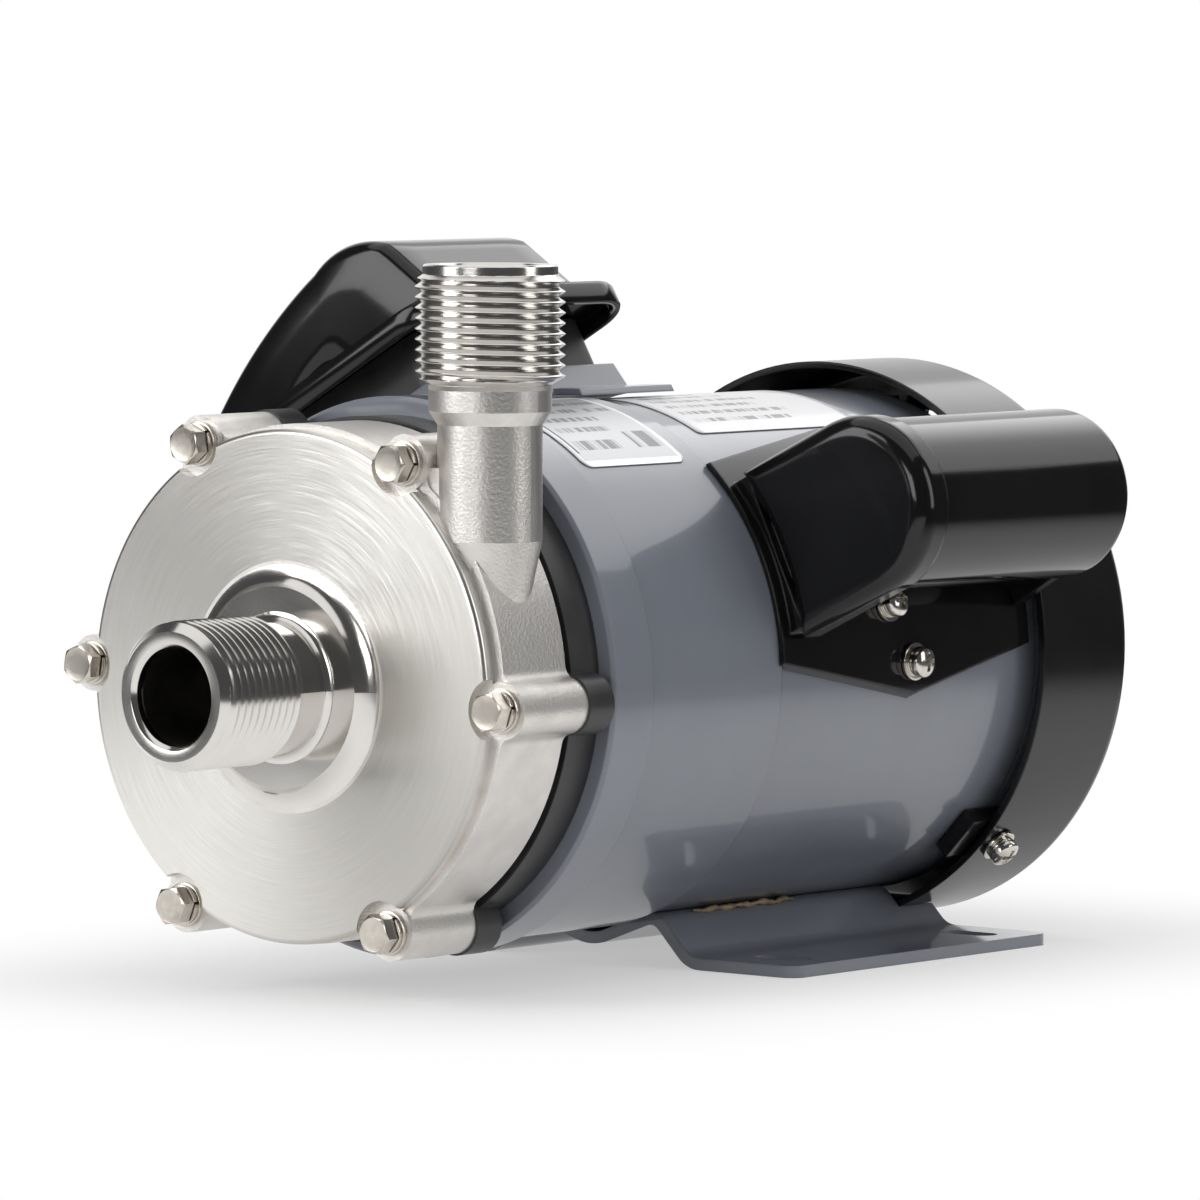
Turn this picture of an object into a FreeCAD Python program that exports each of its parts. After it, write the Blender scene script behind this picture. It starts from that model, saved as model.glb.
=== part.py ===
import FreeCAD, Part
import math
import os
import Sketcher
from FreeCAD import Placement, Rotation, Vector

# Magnetic drive pump: a stainless pump end coupled by magnets to a capacitor-run motor.
# X is across the pump, Y runs back along the pump axis from inlet to fan, Z is up.
# Each sub-part is drawn in pump coordinates, with its length counted from the front face of the
# casing and its radius from the pump axis, and is then placed on its feet.

document = FreeCAD.newDocument("MagneticDrivePump")
sheet = document.addObject("Spreadsheet::Sheet", "Sizes")

SIZES = {
    "AxisHeight": 70.0,           # Height of the pump axis over the floor
    "FootMiddle": 157.5,          # Middle of the foot behind the casing face
    "FixedGap": 0.1,              # Clearance between fixed nested pieces
    "RunningGap": 0.05,           # Clearance of a running shaft or bush
    # Wet end
    "CasingRadius": 57.5,         # Casing outer radius
    "CasingDepth": 25.0,          # Casing depth, face to joint
    "PlateThickness": 4.0,        # Casing front plate thickness
    "VoluteRadius": 58.0,         # Volute swelling radius
    "VoluteShift": 2.1,           # Volute swelling off the pump axis
    "VoluteAngle": 17.0,          # Volute swelling, angle from across
    "VoluteFront": 3.5,           # Volute swelling behind the face
    "FaceRounding": 1.2,          # Rounding of the casing face edge
    "ChamberRadius": 47.0,        # Impeller chamber radius
    "HubRadius": 28.2,            # Radius of the polished hub at the face
    "HubRingRadius": 22.6,        # Radius of the flat ring on the hub
    "HubRise": 3.0,               # Rise of the hub over the face
    "NeckRadius": 15.0,           # Radius of the plain neck
    "NeckFillet": 2.0,            # Fillet at the foot of the neck
    "ThreadRadius": 16.62,        # Major radius of both pipe threads
    "MouthRadius": 14.7,          # Radius of the flat mouth rings
    "ThreadLead": 2.0,            # Lead chamfer of the threads
    "InletReach": 38.4,           # Inlet mouth ahead of the face
    "InletThread": 24.9,          # Length of the inlet thread
    "InletBore": 10.9,            # Inlet bore radius
    "BoreChamfer": 1.0,           # Chamfer of the bore mouths
    "OutletSide": 47.6,           # Outlet beside the pump axis
    "OutletBack": 13.5,           # Outlet behind the face
    "OutletRise": 94.7,           # Outlet mouth over the axis
    "OutletThread": 26.5,         # Length of the outlet thread
    "CollarHeight": 5.7,          # Height of the plain collar
    "CollarRadius": 13.6,         # Radius of the plain collar
    "CollarSlope": 3.0,           # Slope between collar and tube
    "TubeRadius": 11.6,           # Outlet tube radius
    "TaperTop": 34.0,             # Height where the outlet tube starts to taper
    "TaperFoot": 4.0,             # Height of the foot of the taper
    "TaperRadius": 5.5,           # Radius at the foot of the taper
    "OutletBore": 8.8,            # Outlet bore radius
    "MouthDepth": 22.0,           # Depth of the wide outlet mouth
    "ThroatDepth": 11.0,          # Depth of the way from chamber to outlet
    "ThroatHeight": 20.0,         # Height of that way
    "WebTop": 50.0,               # Cast web beside the outlet tube, height
    "WebSide": 34.0,              # Cast web, near edge across
    "SpiderRadius": 6.5,          # Spider hub radius
    "SpiderLength": 9.5,          # Spider hub length
    "SpiderRib": 2.4,             # Spider rib thickness
    "BoltsOutside": 2.65,         # Bolt circle outside the casing radius
    "BoltTurn": -2.3,             # Turn of the bolt circle
    "BossRadius": 6.4,            # Radius of the steel bolt bosses
    "BossBlend": 3.0,             # Blend between the bosses and the casing
    "SpotRadius": 7.3,            # Spot face radius
    "SpotDepth": 2.8,             # Spot face depth below the face
    # Bolts and washers of the casing
    "BoltRadius": 2.5,            # Bolt shank radius
    "BoltHole": 2.75,             # Bolt hole radius
    "BoltFlats": 8.0,             # Bolt head across flats
    "BoltHead": 3.5,              # Bolt head height
    "BoltLength": 32.0,           # Bolt length under the head
    "WasherRadius": 5.0,          # Flat washer radius
    "WasherThickness": 1.0,       # Flat washer thickness
    "SpringRadius": 4.6,          # Spring washer radius
    "SpringThickness": 1.3,       # Spring washer thickness
    # Rear casing and its seal
    "CanFlangeInside": 3.6,       # Rear casing flange inside the casing radius
    "FlangeThickness": 3.4,       # Rear casing flange thickness
    "CanBore": 24.0,              # Rear casing bore radius
    "CanWall": 2.0,               # Rear casing wall
    "CanFloor": 74.0,             # Rear casing floor behind the face
    "CanFloorThickness": 2.5,     # Rear casing floor thickness
    "CanBossRadius": 8.0,         # Shaft boss radius
    "CanBossLength": 6.0,         # Shaft boss length
    "SealCircle": 50.5,           # Seal ring circle radius
    "SealSection": 1.15,          # Seal ring section radius
    # Impeller and its magnet
    "ImpellerRadius": 43.0,       # Impeller radius
    "ImpellerFront": 6.0,         # Front of the impeller behind the face
    "ShroudThickness": 2.0,       # Front shroud thickness
    "VaneDepth": 8.0,             # Vane depth
    "BackThickness": 3.5,         # Back shroud thickness
    "EyeRadius": 12.5,            # Impeller eye radius
    "VaneThickness": 2.4,         # Vane thickness
    "VaneRoot": 15.0,             # Vane root radius
    "VaneCurve": 36.0,            # Vane curve radius
    "VaneCount": 6,               # Number of vanes
    "ImpellerHub": 10.5,          # Impeller hub radius
    "BushRadius": 7.5,            # Bush outer radius
    "PinRadius": 4.5,             # Ceramic shaft radius
    "PinSeat": 6.0,               # Ceramic shaft seated in each end
    "ThrustRadius": 7.0,          # Thrust ring radius
    "ThrustThickness": 1.7,       # Thrust ring thickness
    "AxialPlay": 0.4,             # Axial play of the impeller
    "CapsuleRadius": 22.8,        # Magnet capsule radius
    "CapsuleWall": 1.5,           # Capsule wall
    "DrivenBore": 12.0,           # Driven magnet inner radius
    # Motor bracket and drive magnet
    "BracketProud": 1.9,          # Bracket ring proud of the casing
    "BracketDepth": 12.4,         # Bracket depth
    "BracketBore": 45.0,          # Bracket bore radius
    "EarRadius": 6.9,             # Bracket ear radius
    "EarThickness": 8.5,          # Bracket ear thickness
    "BracketStep": 2.6,           # Step in front of the bracket ring
    "StepInside": 0.9,            # Step inside the casing radius
    "ScrewCircle": 51.5,          # Bracket screw circle radius
    "ScrewRadius": 2.5,           # Bracket screw radius
    "AirGap": 1.2,                # Air gap over the rear casing
    "DriveMagnet": 5.8,           # Drive magnet thickness
    "DriveMagnetLength": 40.0,    # Drive magnet length
    "MagnetSlot": 2.0,            # Slot between drive magnets
    "DriveWall": 5.0,             # Drive hub wall
    "DriveFloor": 5.0,            # Drive hub floor
    "DriveBoss": 13.0,            # Drive hub boss radius
    "DriveBossLength": 3.5,       # Drive hub boss length
    # Motor
    "RimRadius": 63.6,            # Flange rim radius
    "RimLength": 14.2,            # Flange rim length
    "BellRadius": 61.6,           # Front bell radius
    "BellEnd": 100.7,             # Front bell end behind the face
    "BellWall": 4.0,              # Bell wall
    "BellFloor": 6.0,             # Bell floor thickness
    "MotorRadius": 60.4,          # Motor tube radius
    "MotorWall": 2.0,             # Motor tube wall
    "MotorEnd": 200.0,            # Motor tube end behind the face
    "SpigotLength": 3.0,          # Spigot length
    "SpigotWall": 3.0,            # Spigot wall
    "ShieldThickness": 6.0,       # Rear shield thickness
    "SeatWall": 4.5,              # Bearing seat wall
    "ShaftRadius": 7.5,           # Motor shaft radius
    "ShoulderRadius": 9.0,        # Motor shaft shoulder radius
    "BearingRadius": 17.5,        # Bearing outer radius
    "BearingWidth": 11.0,         # Bearing width
    "BearingRing": 2.9,           # Bearing ring thickness
    "BallRadius": 2.05,           # Bearing ball radius
    "BearingLip": 3.0,            # Lip behind each bearing
    "LipHole": 10.0,              # Hole in each lip
    "WaveThickness": 0.6,         # Wave spring thickness
    "StatorFront": 115.0,         # Stator front behind the face
    "StatorLength": 68.0,         # Stator length
    "StatorBore": 32.5,           # Stator bore radius
    "RotorGap": 0.5,              # Rotor air gap
    "WindingDepth": 10.0,         # Winding overhang
    "WindingInner": 36.0,         # Winding inner radius
    "WindingOuter": 54.0,         # Winding outer radius
    "EndRingWidth": 11.0,         # Rotor end ring width
    "EndRingDepth": 3.0,          # Rotor end ring depth
    # Fan and its cover
    "FanHub": 12.0,               # Fan hub radius
    "FanGap": 3.5,                # Fan hub behind the rear shield
    "FanHubLength": 9.0,          # Fan hub length
    "FanDisc": 40.0,              # Fan disc radius
    "FanDiscThickness": 2.0,      # Fan disc thickness
    "FanRadius": 58.0,            # Fan radius
    "BladeThickness": 2.0,        # Fan blade thickness
    "BladeDepth": 9.0,            # Fan blade depth
    "CoverRadius": 67.0,          # Fan cover radius
    "CoverWall": 1.6,             # Fan cover wall
    "CoverFront": 194.6,          # Fan cover front behind the face
    "CoverLength": 34.9,          # Fan cover length
    "CoverRounding": 4.0,         # Fan cover rear rounding
    "GrilleInner": 16.0,          # Grille slot inner radius
    "GrilleOuter": 55.0,          # Grille slot outer radius
    "GrilleWidth": 4.2,           # Grille slot width
    "LugTurn": -43.6,             # Turn of the cover screws
    "LugThickness": 4.0,          # Cover lug thickness
    "LugWidth": 12.0,             # Cover lug width
    "LugLength": 17.5,            # Cover lug length
    "LugScrew": 6.5,              # Cover screws behind the cover front
    # Small pan head screws of cover and capacitor
    "PanRadius": 2.0,             # Pan screw radius
    "PanHole": 2.2,               # Pan screw hole radius
    "PanHead": 3.6,               # Pan head radius
    "PanHeight": 2.8,             # Pan head height
    "PanWasher": 4.4,             # Pan washer radius
    "PanWasherThickness": 0.9,    # Pan washer thickness
    "PanSpring": 3.5,             # Pan spring washer radius
    "PanSpringThickness": 1.1,    # Pan spring washer thickness
    # Foot
    "FootWidth": 120.0,           # Foot width
    "FootLength": 99.0,           # Foot length
    "FootThickness": 2.8,         # Foot sheet thickness
    "FlangeBend": 29.0,           # Bend of the foot flange from the middle
    "RidgeSide": 19.0,            # Ridge of the foot from the middle
    "DipDepth": 3.6,              # Dip of the foot below the motor tube
    "FootBend": 3.0,              # Inner bend radius of the foot sheet
    "SlotAcross": 92.0,           # Foot slots apart across
    "SlotAlong": 72.0,            # Foot slots apart along
    "SlotRadius": 3.5,            # Foot slot radius
    "SlotStraight": 8.0,          # Foot slot straight length
    # Capacitor
    "CapacitorTurn": 25.8,        # Turn of the capacitor about the axis
    "CanOffset": 89.4,            # Capacitor axis from the pump axis
    "HousingRadius": 19.65,       # Capacitor housing radius
    "BlockRadius": 20.6,          # Radius of its front block
    "BlockDepth": 9.0,            # Depth of the front block
    "BlockInner": 65.3,           # Inner radius of the front block
    "BlockRounding": 4.5,         # Rounding of the front block
    "HousingFront": 101.5,        # Front of the housing behind the face
    "HousingLength": 124.0,       # Length of the housing
    "HousingWall": 2.0,           # Housing wall
    "HousingRounding": 3.0,       # Rounding of the rear end
    "SaddleThickness": 2.4,       # Saddle thickness
    "SaddleLead": 2.0,            # Saddle front ahead of the housing
    "SaddleLength": 94.0,         # Saddle length
    "SaddleHalf": 25.0,           # Half width of the saddle ends
    "SaddleTip": 33.5,            # Half width at the saddle tips
    "TipBack": 50.0,              # Saddle tip behind the saddle front
    "WebHalf": 7.0,               # Half width of the housing web
    "RibHalf": 17.0,              # Rear rib half width
    "RibThickness": 3.0,          # Rear rib thickness
    "TabAngle": 25.2,             # Tab screw angle from the capacitor
    "TabBack": 48.5,              # Tab screw behind the saddle front
    "UnderAngle": 12.6,           # Under screw angle from the capacitor
    "UnderBack": 40.5,            # Under screw behind the saddle front
    # Terminal box
    "TerminalTurn": 30.0,         # Turn of the terminal box about the axis
    "PedestalFront": 66.0,        # Front of the pedestal behind the face
    "PedestalLength": 50.0,       # Pedestal length
    "PedestalHalf": 25.5,         # Pedestal half width at the top
    "PedestalDraft": 2.5,         # Draft of the pedestal
    "PedestalTop": 64.0,          # Top of the pedestal from the axis
    "PedestalDrop": 14.0,         # Pedestal side height
    "SkirtThickness": 1.5,        # Thickness of the pedestal skirt
    "SkirtLength": 34.0,          # Length of the pedestal skirt
    "SkirtHalf": 33.5,            # Half width of the pedestal skirt
    "BoxHalf": 25.0,              # Terminal box half width
    "BoxHeight": 16.0,            # Terminal box height
    "BoxWall": 2.2,               # Terminal box wall
    "BoxCorner": 8.0,             # Terminal box corner radius
    "HoodFront": 58.5,            # Hood front behind the face
    "HoodLength": 62.0,           # Hood length along the pump
    "RimFoot": 74.6,              # Hood rim over the axis
    "RimHeight": 4.9,             # Hood rim height
    "RimProud": 2.2,              # Hood rim proud of the dome
    "RimCorner": 11.0,            # Hood rim corner radius
    "HoodLow": 46.0,              # Hood low end across
    "HoodHigh": 37.5,             # Hood high end across
    "CrestSide": 7.0,             # Crest of the hood across
    "CrestRise": 21.0,            # Crest of the hood over the rim
    "ShoulderSide": 29.5,         # Shoulder of the hood across
    "ShoulderRise": 16.0,         # Shoulder of the hood over the rim
    "SlopeCurve": 130.0,          # Curve of the hood's long slope
    "CrestCurve": 22.0,           # Curve of the hood's crest
    "HoodWall": 2.0,              # Hood wall
    "HoodRounding": 3.5,          # Hood edge rounding
    "PostRadius": 4.0,            # Radius of the hood's screw posts
    "PostAlong": 17.0,            # Hood screws from the middle of the box, along
    "PostAcross": 14.0,           # Hood screws across
    "HoodScrew": 1.5,             # Hood screw radius
    "BlockLength": 34.0,          # Terminal block length
    "BlockWidth": 14.0,           # Terminal block width
    "BlockHeight": 10.0,          # Terminal block height
    "TerminalScrew": 1.75,        # Terminal screw radius
    "GrommetRadius": 6.0,         # Grommet radius
    "GrommetBore": 3.5,           # Grommet bore radius
    # Labels
    "LabelThickness": 0.2,        # Label thickness
    "BellLabelFront": 58.0,       # Bell label front behind the face
    "BellLabelLength": 36.5,      # Bell label length
    "BellLabelLow": 51.0,         # Bell label lower edge
    "BellLabelSweep": 34.0,       # Bell label sweep
    "TubeLabelFront": 112.0,      # Tube label front behind the face
    "TubeLabelLength": 62.0,      # Tube label length
    "TubeLabelLow": 62.0,         # Tube label lower edge
    "TubeLabelSweep": 30.0,       # Tube label sweep
}


class Size:
    """A length with both its value and the expression that binds it to the sheet."""

    def __init__(self, text, value):
        self.text = text
        self.value = value

    def join(self, sign, other, value):
        return Size("(" + self.text + " " + sign + " " + as_size(other).text + ")", value)

    def __add__(self, other):
        return self.join("+", other, self.value + as_size(other).value)

    def __sub__(self, other):
        return self.join("-", other, self.value - as_size(other).value)

    def __mul__(self, other):
        return self.join("*", other, self.value * as_size(other).value)

    def __truediv__(self, other):
        return self.join("/", other, self.value / as_size(other).value)

    def __radd__(self, other):
        return as_size(other) + self

    def __rsub__(self, other):
        return as_size(other) - self

    def __rmul__(self, other):
        return as_size(other) * self

    def __neg__(self):
        return Size("(0 - " + self.text + ")", -self.value)


def as_size(item):
    if isinstance(item, Size):
        return item
    return Size(repr(float(item)), float(item))


def root(item):
    return Size("sqrt(" + item.text + ")", math.sqrt(item.value))


def cosine(item):
    return Size("cos(" + as_size(item).text + ")", math.cos(math.radians(as_size(item).value)))


def sine(item):
    return Size("sin(" + as_size(item).text + ")", math.sin(math.radians(as_size(item).value)))


class Names:
    """The sheet's sizes by name, each as a Size."""


S = Names()
for row, (alias, number) in enumerate(SIZES.items(), start=1):
    sheet.set("A%d" % row, alias)
    sheet.set("B%d" % row, str(number))
    sheet.setAlias("B%d" % row, alias)
    setattr(S, alias, Size("Sizes." + alias, float(number)))
document.recompute()

ALONG_Y = Rotation(Vector(1, 0, 0), -90)
ALONG_X = Rotation(Vector(0, 1, 0), 90)
UPRIGHT = Rotation()
PUMP_AXIS = Vector(0, -1, 0)
finished = []


def bind(item, path, size):
    """Ties one property of an object to the sheet."""
    item.setExpression(path, as_size(size).text)


def place(item, across=0, along=0, up=0, rotation=UPRIGHT):
    """Puts an object at a bound position, with a fixed rotation."""
    spot = [as_size(across), as_size(along), as_size(up)]
    item.Placement = Placement(Vector(spot[0].value, spot[1].value, spot[2].value), rotation)
    for axis, size in zip("xyz", spot):
        bind(item, "Placement.Base." + axis, size)
    return item


def turn(item, angle):
    """Turns an object about the pump axis, from across towards up."""
    item.Placement = Placement(Vector(0, 0, 0), Rotation(PUMP_AXIS, as_size(angle).value))
    bind(item, "Placement.Rotation.Angle", angle)
    return item


def finish(item, label, angle=None):
    """Names a finished sub-part and puts it in its place over the feet."""
    holder = item
    if angle is None:
        place(holder, 0, -S.FootMiddle, S.AxisHeight)
    else:
        rotation = Rotation(PUMP_AXIS, angle.value)
        place(holder, 0, -S.FootMiddle, S.AxisHeight, rotation)
        bind(holder, "Placement.Rotation.Angle", angle)
    holder.Label = label
    finished.append(holder)
    return holder


def rod(name, radius, start, length, across=0, up=0):
    """A cylinder along the pump, from start to start plus length."""
    item = document.addObject("Part::Cylinder", name)
    bind(item, "Radius", radius)
    bind(item, "Height", length)
    return place(item, across, start, up, ALONG_Y)


def stud(name, radius, start, length, along=0, up=0):
    """A cylinder that points away from the pump axis, across."""
    item = document.addObject("Part::Cylinder", name)
    bind(item, "Radius", radius)
    bind(item, "Height", length)
    return place(item, start, along, up, ALONG_X)


def post(name, radius, foot, height, across=0, along=0):
    """An upright cylinder."""
    item = document.addObject("Part::Cylinder", name)
    bind(item, "Radius", radius)
    bind(item, "Height", height)
    return place(item, across, along, foot)


def block(name, across, along, up, width, length, height):
    """A box from its low corner."""
    item = document.addObject("Part::Box", name)
    bind(item, "Length", width)
    bind(item, "Width", length)
    bind(item, "Height", height)
    return place(item, across, along, up)


def fuse(name, pieces):
    item = document.addObject("Part::MultiFuse", name)
    item.Shapes = pieces
    return item


def cut(name, base, tools):
    item = document.addObject("Part::Cut", name)
    item.Base = base
    item.Tool = tools[0] if len(tools) == 1 else group(name + "Tools", tools)
    return item


def common(name, pieces):
    item = document.addObject("Part::MultiCommon", name)
    item.Shapes = pieces
    return item


def group(name, pieces):
    item = document.addObject("Part::Compound", name)
    item.Links = pieces
    return item


def origin_feature(body, role):
    for feature in body.Origin.OriginFeatures:
        if feature.Role == role:
            return feature
    raise ValueError(role)


def arc_centre(first, second, radius):
    """Centre of the short arc between two points, left of the way for a positive radius."""
    half = (second - first) * 0.5
    rise = math.sqrt(max(radius * radius - half.Length * half.Length, 0.0))
    left = Vector(-half.y, half.x, 0).normalize()
    return first + half + left * (rise if radius > 0 else -rise)


def draw(body, name, plane, outline, offset=None):
    """A closed sketch whose corners are each tied to the sheet.

    Each corner is (horizontal, vertical) or (horizontal, vertical, radius), where the radius bends
    the line to the next corner round a centre on its left, or on its right when it is negative.
    """
    sketch = body.newObject("Sketcher::SketchObject", name)
    sketch.AttachmentSupport = [(origin_feature(body, plane), "")]
    sketch.MapMode = "FlatFace"
    if offset is not None:
        bind(sketch, "AttachmentOffset.Base.z", offset)
    corners = [Vector(as_size(c[0]).value, as_size(c[1]).value, 0) for c in outline]
    ends = []
    for index, corner in enumerate(outline):
        first = corners[index]
        second = corners[(index + 1) % len(corners)]
        if len(corner) == 2:
            sketch.addGeometry(Part.LineSegment(first, second), False)
            ends.append((1, 2))
            continue
        radius = as_size(corner[2]).value
        centre = arc_centre(first, second, radius)
        angles = [math.atan2(p.y - centre.y, p.x - centre.x) for p in (first, second)]
        forward = radius > 0
        if not forward:
            angles.reverse()
        if angles[1] < angles[0]:
            angles[1] += 2 * math.pi
        circle = Part.Circle(centre, Vector(0, 0, 1), abs(radius))
        sketch.addGeometry(Part.ArcOfCircle(circle, angles[0], angles[1]), False)
        ends.append((1, 2) if forward else (2, 1))
    for index, corner in enumerate(outline):
        following = (index + 1) % len(outline)
        joint = Sketcher.Constraint("Coincident", index, ends[index][1], following, ends[following][0])
        sketch.addConstraint(joint)
    for index, corner in enumerate(outline):
        for kind, size, number in (("DistanceX", corner[0], corners[index].x),
                                   ("DistanceY", corner[1], corners[index].y)):
            if as_size(size).value == 0 and not isinstance(size, Size):
                line = -2 if kind == "DistanceX" else -1
                sketch.addConstraint(Sketcher.Constraint("PointOnObject", index, ends[index][0], line))
                continue
            rule = sketch.addConstraint(
                Sketcher.Constraint(kind, -1, 1, index, ends[index][0], number))
            bind(sketch, "Constraints[%d]" % rule, size)
        if len(corner) == 3:
            radius = as_size(corner[2])
            rule = sketch.addConstraint(Sketcher.Constraint("Radius", index, abs(radius.value)))
            bind(sketch, "Constraints[%d]" % rule, radius if radius.value > 0 else -radius)
    return sketch


def revolve(body, name, outline, plane="XY_Plane"):
    """Turns an outline of (radius, length) corners about the upright axis of its sketch."""
    sketch = draw(body, name + "Outline", plane, outline)
    feature = body.newObject("PartDesign::Revolution", name)
    feature.Profile = sketch
    feature.ReferenceAxis = (sketch, ["V_Axis"])
    feature.Angle = 360
    return feature


def turned(name, outline, plane="XY_Plane"):
    """A turned body about the pump axis, or about an upright axis on the XZ plane."""
    body = document.addObject("PartDesign::Body", name)
    revolve(body, name + "Turn", [(corner[1], corner[0]) + corner[2:] for corner in outline], plane)
    return body


def ring(name, inner, outer, start, length):
    """A plain ring about the pump axis."""
    return turned(name, [(start, inner), (start, outer), (start + length, outer),
                         (start + length, inner)])


def padded(name, outline, start, length):
    """A body with an (across, up) outline, from start back to start plus length."""
    body = document.addObject("PartDesign::Body", name)
    pad(body, name + "Pad", outline, start, length)
    return body


def pad(body, name, outline, start, length):
    sketch = draw(body, name + "Outline", "XZ_Plane", outline, -(start + length))
    feature = body.newObject("PartDesign::Pad", name)
    feature.Profile = sketch
    bind(feature, "Length", length)
    return feature


def raised(name, outline, foot, height):
    """A body with an (across, along) outline, from foot up to foot plus height."""
    body = document.addObject("PartDesign::Body", name)
    sketch = draw(body, name + "Outline", "XY_Plane", outline, foot)
    feature = body.newObject("PartDesign::Pad", name + "Pad")
    feature.Profile = sketch
    bind(feature, "Length", height)
    return body


def round_edges(body, feature, radius, chosen):
    """Rounds the edges of a feature for which chosen is true."""
    document.recompute()
    names = ["Edge%d" % number for number, edge in enumerate(feature.Shape.Edges, start=1)
             if chosen(edge)]
    fillet = body.newObject("PartDesign::Fillet", feature.Name + "Rounding")
    fillet.Base = (feature, names)
    bind(fillet, "Radius", radius)
    body.Tip = fillet
    return fillet


def on_circle(number, count, first, radius):
    """Across and up of one of the places spaced round a circle about the pump axis."""
    angle = as_size(first) + 360.0 * number / count
    return radius * cosine(angle), radius * sine(angle)


def bolt_places():
    return [on_circle(number, 6, S.BoltTurn, PITCH_RADIUS) for number in range(6)]


# Radii and levels along the pump that several pieces share
PITCH_RADIUS = S.CasingRadius + S.BoltsOutside
CAN_FLANGE = S.CasingRadius - S.CanFlangeInside
BRACKET_RADIUS = S.CasingRadius + S.BracketProud
STEP_RADIUS = S.CasingRadius - S.StepInside
FLANGE_SEAT = S.CasingDepth - S.FlangeThickness
BELL_FRONT = S.CasingDepth + S.BracketDepth
SEAL_DEPTH = S.SealSection * 2 + S.FixedGap
IMPELLER_BACK = S.ImpellerFront + S.ShroudThickness + S.VaneDepth + S.BackThickness
CAN_BOSS_FRONT = S.CanFloor - S.CanBossLength
BUSH_END = CAN_BOSS_FRONT - S.ThrustThickness - S.AxialPlay
SPIDER_BACK = S.ImpellerFront - S.ThrustThickness - S.AxialPlay
DRIVE_BORE = S.CanBore + S.CanWall + S.AirGap
DRIVE_SEAT = DRIVE_BORE + S.DriveMagnet
DRIVE_FLOOR = S.CanFloor + S.CanFloorThickness + 2.5
DRIVE_END = DRIVE_FLOOR + S.DriveFloor + S.DriveBossLength
FRONT_BEARING = S.BellEnd + 2.0 - S.BearingWidth
REAR_BEARING = S.MotorEnd - 3.8
REAR_LIP = REAR_BEARING + S.BearingWidth + S.WaveThickness + S.FixedGap
FAN_FRONT = REAR_LIP + S.BearingLip + S.FanGap
SADDLE_FRONT = S.HousingFront - S.SaddleLead
SADDLE_INNER = S.MotorRadius + 0.3
SADDLE_OUTER = SADDLE_INNER + S.SaddleThickness
COVER_END = S.CoverFront + S.CoverLength
DOME_FOOT = S.RimFoot + S.RimHeight
HOOD_END = S.HoodFront + S.HoodLength


def casing_bosses(name, radius, start, length):
    return [rod("%s%d" % (name, number), radius, start, length, across, up)
            for number, (across, up) in enumerate(bolt_places())]


def outlet_outline():
    """The outlet nozzle from the foot of its taper up to its mouth, as (height, radius)."""
    thread_foot = S.OutletRise - S.OutletThread
    collar_foot = thread_foot - S.CollarHeight
    return [(S.TaperFoot, 0), (S.TaperFoot, S.TaperRadius), (S.TaperTop, S.TubeRadius),
            (collar_foot - S.CollarSlope, S.TubeRadius), (collar_foot, S.CollarRadius),
            (thread_foot - 1.0, S.CollarRadius), (thread_foot, S.ThreadRadius),
            (S.OutletRise - S.ThreadLead, S.ThreadRadius), (S.OutletRise, S.MouthRadius),
            (S.OutletRise, 0)]


def outlet_bore_outline():
    """The way through the outlet, wide at the mouth and narrow where it leaves the chamber."""
    shelf = S.OutletRise - S.MouthDepth
    narrow = S.TaperRadius - 2.0
    return [(S.TaperFoot + 4.0, 0), (S.TaperFoot + 4.0, narrow), (S.TaperTop, S.OutletBore),
            (shelf, S.OutletBore), (shelf + 2.0, S.InletBore),
            (S.OutletRise - S.BoreChamfer, S.InletBore),
            (S.OutletRise + S.BoreChamfer, S.InletBore + 2 * S.BoreChamfer),
            (S.OutletRise + S.BoreChamfer, 0)]


def blend_bosses(bossed):
    """Fills the corners where the bolt bosses meet the round of the casing."""
    document.recompute()
    inner = S.CasingRadius.value - 1.0
    outer = PITCH_RADIUS.value + 2.0
    least = S.CasingDepth.value / 2
    edges = []
    for number, edge in enumerate(bossed.Shape.Edges, start=1):
        middle = edge.CenterOfMass
        straight = edge.Curve.TypeId == "Part::GeomLine" and abs(edge.Curve.Direction.y) > 0.999
        if straight and edge.Length > least and inner < math.hypot(middle.x, middle.z) < outer:
            edges.append((number, S.BossBlend.value, S.BossBlend.value))
    blend = document.addObject("Part::Fillet", "BossBlends")
    blend.Base = bossed
    blend.Edges = edges
    return blend


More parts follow.
